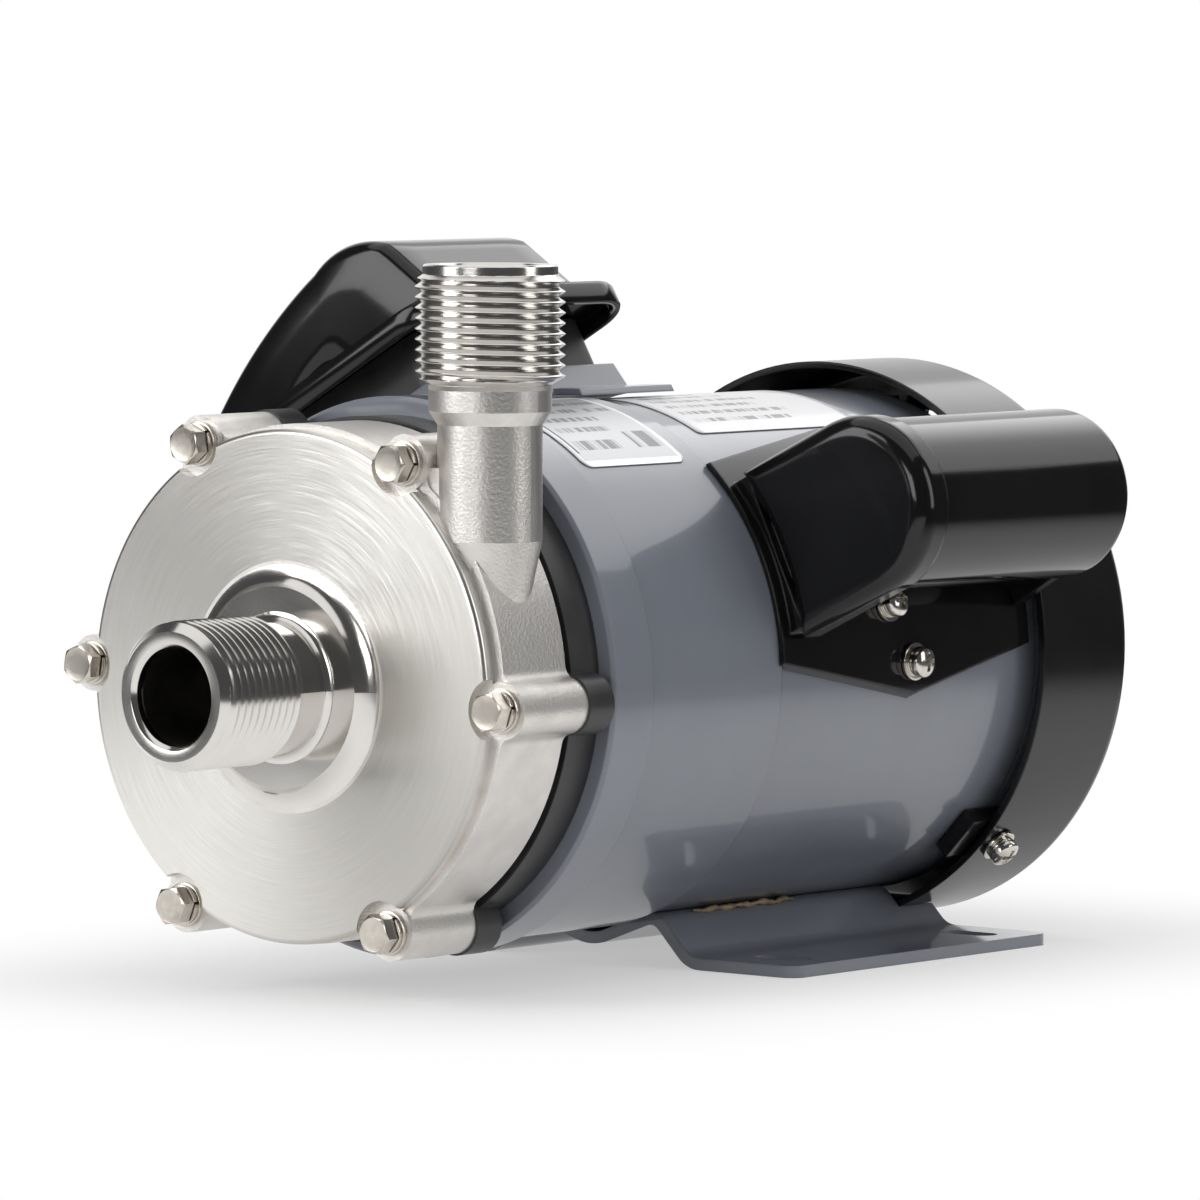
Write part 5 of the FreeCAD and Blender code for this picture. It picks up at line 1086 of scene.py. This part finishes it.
@dataclass
class CurvedLabel:
    """A thin printed plate with round corners, wrapped on the motor."""

    name: str
    node: str
    radius: float
    front: float
    length: float
    low: float
    sweep: float
    corner: float
    finish: Finish
    thickness: float = 0.2
    lift: float = 0.1

    def build(self) -> None:
        """Makes the label: a grid whose rows shorten by the corner's circle near both ends."""
        half_along = 0.5 * self.length
        half_round = 0.5 * math.radians(self.sweep) * self.radius
        inner = half_round - self.corner
        bend = np.sin(np.linspace(0.0, math.pi / 2.0, 9))
        rows = np.concatenate([-half_round + self.corner * (1.0 - bend[::-1]),
                               np.linspace(-inner, inner, 14)[1:-1],
                               half_round - self.corner * (1.0 - bend)])[:, None]
        over = np.maximum(np.abs(rows) - inner, 0.0)
        shorter = self.corner - np.sqrt(np.maximum(self.corner ** 2 - over ** 2, 0.0))
        along = np.linspace(-1.0, 1.0, 30)[None, :] * (half_along - shorter)
        rows = rows + 0.0 * along
        angle = math.radians(self.low + 0.5 * self.sweep) + rows / self.radius
        outer = self.radius + self.lift + self.thickness
        points = np.stack([outer * np.cos(angle), self.front + half_along + along,
                           outer * np.sin(angle)], axis=-1)
        flat = np.stack([0.5 + 0.5 * along / half_along, 0.5 - 0.5 * rows / half_round], axis=-1)
        piece = make_piece(self.name, [Grid(points, round=False, flat_map=flat)])
        middle = piece.data.polygons[len(piece.data.polygons) // 2]
        height = middle.center.z - AXIS_HEIGHT * MILLIMETRE
        if middle.normal.x * middle.center.x + middle.normal.z * height < 0.0:
            piece.data.flip_normals()
        thicken(piece, self.thickness)
        settle(piece, "label", self.finish, self.node)


@dataclass
class Bead:
    """An uneven bead of sealant along a corner of the foot."""

    name: str
    start: float
    end: float
    across: float
    up: float
    size: float
    seed: float

    def build(self) -> None:
        """Makes the bead: a tube along the pump whose radius is size times a sum of sines."""
        along = np.linspace(self.start, self.end, 90)[:, None]
        angle = whole_turn(20)
        t = (along - self.start) / (self.end - self.start)
        wave = (1.0 + 0.28 * np.sin(along * 0.9 + self.seed)
                + 0.18 * np.sin(along * 2.1 + 2.0 * self.seed)
                + 0.10 * np.sin(along * 4.3 + angle * 2.0))
        radius = self.size * wave * np.sqrt(np.clip(1.0 - (2.0 * t - 1.0) ** 8, 0.0, 1.0))
        sway = 0.35 * np.sin(along * 0.55 + self.seed)
        across = self.across + sway + radius * np.cos(angle)
        up = self.up + 0.2 * np.sin(along * 0.7) + radius * np.sin(angle)
        points = np.stack(np.broadcast_arrays(across, along, up), axis=-1)
        settle(make_piece(self.name, [Grid(points)], 60.0), "grey_paint", Paint.SEALANT)


@dataclass
class CapacitorCover:
    """The capacitor and its housing at the length that the photograph shows."""

    turn: float = 25.8
    rear_from: float = 200.0
    shorter: float = 42.5
    rib: tuple[float, float] = (187.4, 190.6)
    rib_root: float = 62.0
    rib_top: float = 86.0
    rib_lean: float = 8.0

    def shorten(self, spots: np.ndarray) -> np.ndarray:
        """Draws the rear end forward, and leans the rib to it.

        A point of the rib at height h over the pump axis, along the capacitor's own direction,
        moves forward by lean * (h - root) / (top - root).
        """
        x, y, z = spots.T
        turn = math.radians(self.turn)
        height = x * math.cos(turn) + z * math.sin(turn)
        share = np.clip((height - self.rib_root) / (self.rib_top - self.rib_root), 0.0, 1.0)
        in_rib = (y > self.rib[0]) & (y < self.rib[1])
        leaned = np.where(in_rib, y - self.rib_lean * share, y)
        return np.stack([x, np.where(y > self.rear_from, y - self.shorter, leaned), z], axis=1)

    def build(self) -> None:
        """Makes both pieces."""
        cover = merged_copy("capacitor_housing", "capacitor_cover", self.shorten)
        settle(cover, "black_gloss", Paint.GLOSS, "capacitor_housing")
        can = merged_copy("capacitor", "capacitor_can", self.shorten)
        settle(can, "can_aluminium", Metal.ALUMINIUM, "capacitor")


def arc(start: tuple[float, float], end: tuple[float, float], radius: float,
        count: int) -> np.ndarray:
    """Points of a circle from start to end that bulges to the left of the way.

    With the half chord h, the centre lies sqrt(radius ** 2 - h ** 2) to the right of its middle.
    """
    first, last = np.array(start), np.array(end)
    half = 0.5 * np.linalg.norm(last - first)
    ahead = (last - first) / (2.0 * half)
    left = np.array([-ahead[1], ahead[0]])
    centre = 0.5 * (first + last) - left * math.sqrt(radius ** 2 - half ** 2)
    reach = math.asin(half / radius)
    angle = np.linspace(-reach, reach, count)[:, None]
    return centre + radius * (np.cos(angle) * left + np.sin(angle) * ahead)


@dataclass
class TerminalHood:
    """The black hood, a dome on a shallow tray, and the box and pedestal under it.

    All of it is turned about the pump axis. Across and up count in the turned directions.
    """

    cosine: float = math.cos(math.radians(30.0))
    sine: float = math.sin(math.radians(30.0))
    foot: float = 78.9
    skirt: float = 1.5
    low: float = -46.0
    high: float = 37.5
    middle: float = -2.0
    crest: tuple[float, float] = (7.0, 21.0)
    shoulder: tuple[float, float] = (29.5, 16.0)
    slope_radius: float = 130.0
    crest_radius: float = 22.0
    front: float = 58.5
    end: float = 112.0
    rounding: float = 3.5
    wall: float = 2.0
    tray_foot: float = 73.3
    tray_front: float = 56.3
    tray_end: float = 130.0
    tray_corner: float = 14.0
    proud: float = 2.2
    box_rear: float = 103.0
    box_top: float = 77.0
    box_longer: float = 12.0
    box_lower: float = 3.6
    pedestal_rear: float = 116.0
    pedestal_slack: float = 0.05

    def placed(self, across: np.ndarray, along: np.ndarray, up: np.ndarray) -> np.ndarray:
        """Points in pump coordinates: (a cos t - u sin t, along, a sin t + u cos t)."""
        across, along, up = np.broadcast_arrays(across, along, up)
        return np.stack([across * self.cosine - up * self.sine, along,
                         across * self.sine + up * self.cosine], axis=-1)

    def outline(self, inset: float) -> np.ndarray:
        """The dome's side view drawn in by inset, from its low foot over the crest to the high."""
        low = (self.low + 1.6 * inset, self.foot)
        high = (self.high - inset, self.foot)
        crest = (self.crest[0], self.foot + self.crest[1] - inset)
        shoulder = (self.shoulder[0] - inset, self.foot + self.shoulder[1] - 0.4 * inset)
        return np.concatenate([
            [(low[0], self.foot - self.skirt)], arc(low, crest, self.slope_radius - inset, 26),
            arc(crest, shoulder, self.crest_radius - inset, 12)[1:],
            np.linspace(shoulder, high, 7)[1:], [(high[0], self.foot - self.skirt)]])

    def dome(self) -> bpy.types.Object:
        """The dome as an open shell with rounded ends.

        At the angle f of the rounding the end row lies r * (1 - cos f) behind the end, drawn in by
        r * (1 - sin f), and the flat ends shrink to the middle of the foot.
        """
        bend = np.radians(np.linspace(0.0, 90.0, 7))
        drawn = self.rounding * (1.0 - np.sin(bend))
        behind = self.rounding * (1.0 - np.cos(bend))
        flat = self.outline(self.rounding)
        middle = np.array([self.middle, self.foot - self.skirt])
        cap = [middle + (flat - middle) * share for share in (0.0, 0.35, 0.7)]
        rows = [(row, self.front) for row in cap]
        rows += [(self.outline(inset), self.front + depth) for inset, depth in zip(drawn, behind)]
        rows += [(self.outline(0.0), along) for along in np.linspace(
            self.front + self.rounding, self.end - self.rounding, 8)[1:-1]]
        rows += [(self.outline(inset), self.end - depth)
                 for inset, depth in zip(drawn[::-1], behind[::-1])]
        rows += [(row, self.end) for row in cap[::-1]]
        points = np.stack([self.placed(row[:, 0], along, row[:, 1]) for row, along in rows])
        piece = make_piece("hood_dome", [Grid(points, round=False)], 40.0)
        if max(piece.data.polygons, key=lambda face: face.center.z).normal.z < 0.0:
            piece.data.flip_normals()
        thicken(piece, self.wall)
        return piece

    def tray_plan(self, inset: float) -> np.ndarray:
        """The tray's rounded rectangle drawn in by inset, as (across, along) points."""
        radius = self.tray_corner - inset
        left = self.low - self.proud + inset + radius
        right = self.high + self.proud - inset - radius
        front, rear = self.tray_front + inset + radius, self.tray_end - inset - radius
        made = []
        for across, along, start in ((left, front, 180.0), (right, front, 270.0),
                                     (right, rear, 0.0), (left, rear, 90.0)):
            angle = np.radians(start + np.linspace(0.0, 90.0, 15))
            made.append(np.stack([across + radius * np.cos(angle),
                                  along + radius * np.sin(angle)], axis=1))
        return np.concatenate(made)

    def tray(self) -> bpy.types.Object:
        """The tray under the dome: a closed plate with a wall all round."""
        under = self.foot - self.wall
        levels = ((1.2, self.foot), (0.35, self.foot - 0.25), (0.0, self.foot - 1.0),
                  (0.0, self.tray_foot + 0.6), (0.4, self.tray_foot), (1.6, self.tray_foot),
                  (self.wall, self.tray_foot + 0.4), (self.wall, under))
        plans = [(self.tray_plan(inset), up) for inset, up in levels]
        whole = self.tray_plan(0.0)
        middle = whole.mean(axis=0) + 0.0 * whole
        plans = [(middle, self.foot), *plans, (middle, under)]
        rows = [self.placed(plan[:, 0], plan[:, 1], up) for plan, up in plans]
        return make_piece("hood_tray", [Grid(np.stack(rows))], 50.0)

    def stretch_box(self, spots: np.ndarray) -> np.ndarray:
        """Moves the box's rear part back and its top edge down."""
        x, y, z = spots.T
        up = np.where(z * self.cosine - x * self.sine > self.box_top, -self.box_lower, 0.0)
        y = np.where(y > self.box_rear, y + self.box_longer, y)
        return np.stack([x - up * self.sine, y, z + up * self.cosine], axis=1)

    def stretch_pedestal(self, spots: np.ndarray) -> np.ndarray:
        """Moves the pedestal's rear face back."""
        x, y, z = spots.T
        rear = np.abs(y - self.pedestal_rear) < self.pedestal_slack
        return np.stack([x, np.where(rear, y + self.box_longer, y), z], axis=1)

    def build(self) -> None:
        """Makes the four pieces."""
        settle(self.dome(), "black_gloss", Paint.GLOSS, "terminal_hood")
        settle(self.tray(), "black_gloss", Paint.GLOSS)
        box = merged_copy("terminal_box", "terminal_box_body", self.stretch_box)
        settle(box, "black_box", Paint.BOX, "terminal_box")
        pedestal = merged_copy("terminal_pedestal", "pedestal_casting", self.stretch_pedestal)
        settle(pedestal, "grey_paint", Paint.GREY, "terminal_pedestal")


@dataclass
class Motor:
    """The motor's cover, hood, labels, screws and beads."""

    lug_turn: float = -43.6
    cover_level: float = 201.1
    cover_seat: float = 67.1
    cover_depth: float = 6.2
    saddle_turn: float = 25.8
    saddle_seat: float = 63.2
    saddle_depth: float = 2.6
    tab: tuple[float, float] = (25.2, 148.0)
    under: tuple[float, float] = (12.6, 140.0)
    foot_corner: tuple[float, float] = (20.9, -57.9)

    def build(self) -> None:
        """Makes the pieces in order."""
        CapacitorCover().build()
        TerminalHood().build()
        CurvedLabel("nameplate", "bell_label", radius=61.6, front=58.0, length=36.5, low=51.0,
                    sweep=34.0, corner=2.6, finish=Paint.NAMEPLATE).build()
        CurvedLabel("sticker", "tube_label", radius=60.4, front=112.0, length=62.0, low=62.0,
                    sweep=30.0, corner=1.6, finish=Paint.STICKER).build()
        lugs = tuple((self.lug_turn + 90.0 * number, self.cover_level) for number in range(4))
        PanScrews("cover", "fan_cover", lugs, self.cover_seat, self.cover_depth).build()
        saddle = tuple((self.saddle_turn + turn, along) for turn, along in (
            (-self.tab[0], self.tab[1]), (-self.under[0], self.under[1]), self.tab))
        PanScrews("saddle", "capacitor", saddle, self.saddle_seat, self.saddle_depth).build()
        across, up = self.foot_corner
        Bead("foot_bead_right", 120.0, 158.0, across, up, size=0.6, seed=1.3).build()
        Bead("foot_bead_left", 118.0, 184.0, -across, up, size=0.7, seed=4.1).build()


# ---------------------------------------------------------------- studio


def stand(item: bpy.types.Object, side: Any, up: Any, back: Any, place: Place) -> None:
    """Places an object by the directions of its X, Y and Z axes and its place."""
    matrix = Matrix(np.stack([side, up, back], axis=1).tolist()).to_4x4()
    matrix.translation = place
    item.matrix_world = matrix


@dataclass(frozen=True)
class SoftLight:
    """A square lamp that looks at a point of the pump, in metres and watts."""

    name: str
    place: Place
    target: Place
    width: float
    height: float
    power: float

    def build(self) -> None:
        """Adds the lamp, turned with its -Z at the target."""
        data = bpy.data.lights.new(self.name, "AREA")
        data.shape = "RECTANGLE"
        data.size = self.width
        data.size_y = self.height
        data.energy = self.power
        way = np.array(self.place) - np.array(self.target)
        way = way / np.linalg.norm(way)
        side = np.cross([0.0, 0.0, 1.0], way)
        side = side / np.linalg.norm(side)
        stand(add_object(self.name, data), side, np.cross(way, side), way, self.place)


@dataclass
class Studio:
    """The floor, the lamps, the pale surroundings and the camera.

    The pump's footprint is in pump coordinates. The floor fades to white over the fade round it,
    and gloss sees it dark beyond gloss_fade, which starts later in front of the pump.
    """

    camera_place: Place = (1.271835, -1.620314, 0.217336)
    right: Place = (0.77766, 0.62867, 0.00291)
    up: Place = (-0.04362, 0.04933, 0.99783)
    back: Place = (0.62717, -0.77610, 0.06579)
    lens: float = 262.0
    lamps: tuple[SoftLight, ...] = (
        SoftLight("left_softbox", (-0.80, -1.45, 0.66), (0.0, -0.10, 0.07), 0.8, 1.15, 11.5),
        SoftLight("front_softbox", (0.17, -1.70, 0.42), (0.0, -0.15, 0.07), 0.6, 0.5, 3.8),
        SoftLight("right_strip", (1.35, 0.42, 0.60), (0.0, 0.0, 0.08), 0.5, 1.1, 4.5),
        SoftLight("back_softbox", (0.10, 1.15, 1.05), (0.0, 0.0, 0.10), 1.5, 0.8, 5.5),
        SoftLight("ceiling", (0.00, -0.10, 1.50), (0.0, 0.0, 0.07), 2.2, 1.7, 11.0),
    )
    floor_size: float = 30.0
    half_wide: float = 50.0
    half_long: float = 110.0
    middle: float = 125.0
    fade: float = 110.0
    shadow: float = 0.45
    gloss_fade: tuple[float, float] = (150.0, 420.0)
    front_fade: tuple[float, float] = (100.0, 300.0)
    white: Colour = (1.0, 1.0, 1.0)
    dim: Colour = (0.07, 0.07, 0.073)
    fill: Colour = (0.38, 0.38, 0.385)
    view: tuple[float, float] = (0.617, -0.787)
    backdrop: tuple[float, float] = (-0.72, -0.95)
    backdrop_top: tuple[float, float] = (0.9, 0.5)

    def camera(self) -> None:
        """Adds the camera with the photograph's place, direction and lens."""
        data = bpy.data.cameras.new("camera")
        data.sensor_fit = "HORIZONTAL"
        data.sensor_width = 36.0
        data.lens = self.lens
        data.clip_start = 0.05
        data.clip_end = 100.0
        made = add_object("camera", data)
        stand(made, self.right, self.up, self.back, self.camera_place)
        bpy.context.scene.camera = made

    def floor(self) -> None:
        """Adds the pale floor, which keeps the pump's shadow and is white elsewhere."""
        mesh = bpy.data.meshes.new("floor")
        size = self.floor_size
        mesh.from_pydata([(-size, -size, 0.0), (size, -size, 0.0), (size, size, 0.0),
                          (-size, size, 0.0)], [], [(0, 1, 2, 3)])
        material = bpy.data.materials.new("pale_floor")
        material.use_nodes = True
        graph = Graph(material.node_tree)
        colour = graph.blend((0.86, 0.86, 0.86), (0.84, 0.84, 0.845), graph.noise(400.0, 2.0))
        diffuse = graph.node("ShaderNodeBsdfDiffuse", {"Color": colour})
        glow, dark = (graph.node("ShaderNodeEmission", {"Color": shade, "Strength": 1.0})
                      for shade in (self.white, self.dim))
        across, along, _ = graph.from_axis()
        side = (abs(across) - self.half_wide).larger(0.0)
        end = (abs(along - self.middle) - self.half_long).larger(0.0)
        away = (side * side + end * end) ** 0.5
        lit = away.step(0.0, self.fade) * (1.0 - self.shadow) + self.shadow
        near = graph.node("ShaderNodeMixShader", [self.seen_directly(graph) * lit, diffuse, glow])
        gloss = graph.node("ShaderNodeLightPath", output="Is Glossy Ray")
        later = (along * -1.0).step(0.0, self.front_fade[0]) * self.front_fade[1]
        share = gloss * (away - later).step(*self.gloss_fade)
        graph.end("ShaderNodeOutputMaterial",
                  graph.node("ShaderNodeMixShader", [share, near, dark]))
        mesh.materials.append(material)
        add_object("floor", mesh)

    def seen_directly(self, graph: Graph) -> Signal:
        """1 for rays from the camera, off gloss or through glass, and 0 for lighting rays."""
        rays = graph.node("ShaderNodeLightPath", output="Is Camera Ray")
        return rays.larger(rays.other("Is Glossy Ray")).larger(rays.other("Is Transmission Ray"))

    def surroundings(self) -> None:
        """White surroundings, with a dim room that only gloss shows.

        The white backdrop stays behind the pump, so that metal and gloss show the light and dark
        bands of a photographer's room.
        """
        world = bpy.data.worlds.new("studio")
        world.use_nodes = True
        bpy.context.scene.world = world
        graph = Graph(world.node_tree)
        x, y, z = graph.parts("Generated")
        flat = (x * x + y * y + 0.0001) ** 0.5
        near = (x * self.view[0] + y * self.view[1]) / flat
        behind = near.step(*self.backdrop) * z.step(*self.backdrop_top)
        gloss = graph.node("ShaderNodeLightPath", output="Is Glossy Ray")
        shown = graph.blend(self.white, graph.blend(self.dim, self.white, behind), gloss)
        seen = graph.blend(self.fill, shown, self.seen_directly(graph))
        graph.end("ShaderNodeOutputWorld",
                  graph.node("ShaderNodeBackground", {"Color": seen, "Strength": 1.0}))

    def build(self) -> None:
        """Sets the studio up."""
        self.camera()
        self.floor()
        self.surroundings()
        for lamp in self.lamps:
            lamp.build()
        bpy.context.scene.view_settings.view_transform = "Standard"
        log.info("studio: camera, floor, surroundings and %d lamps", len(self.lamps))


def main() -> None:
    """Builds the scene."""
    logging.basicConfig(level=logging.INFO, format="%(name)s: %(message)s")
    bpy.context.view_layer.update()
    Studio().build()
    for finish, nodes in FINISHES.items():
        for node in nodes:
            dress(node, finish)
    PumpCasing().build()
    HexBolts().build()
    Motor().build()
    bpy.context.view_layer.update()


if __name__ == "__main__":
    main()
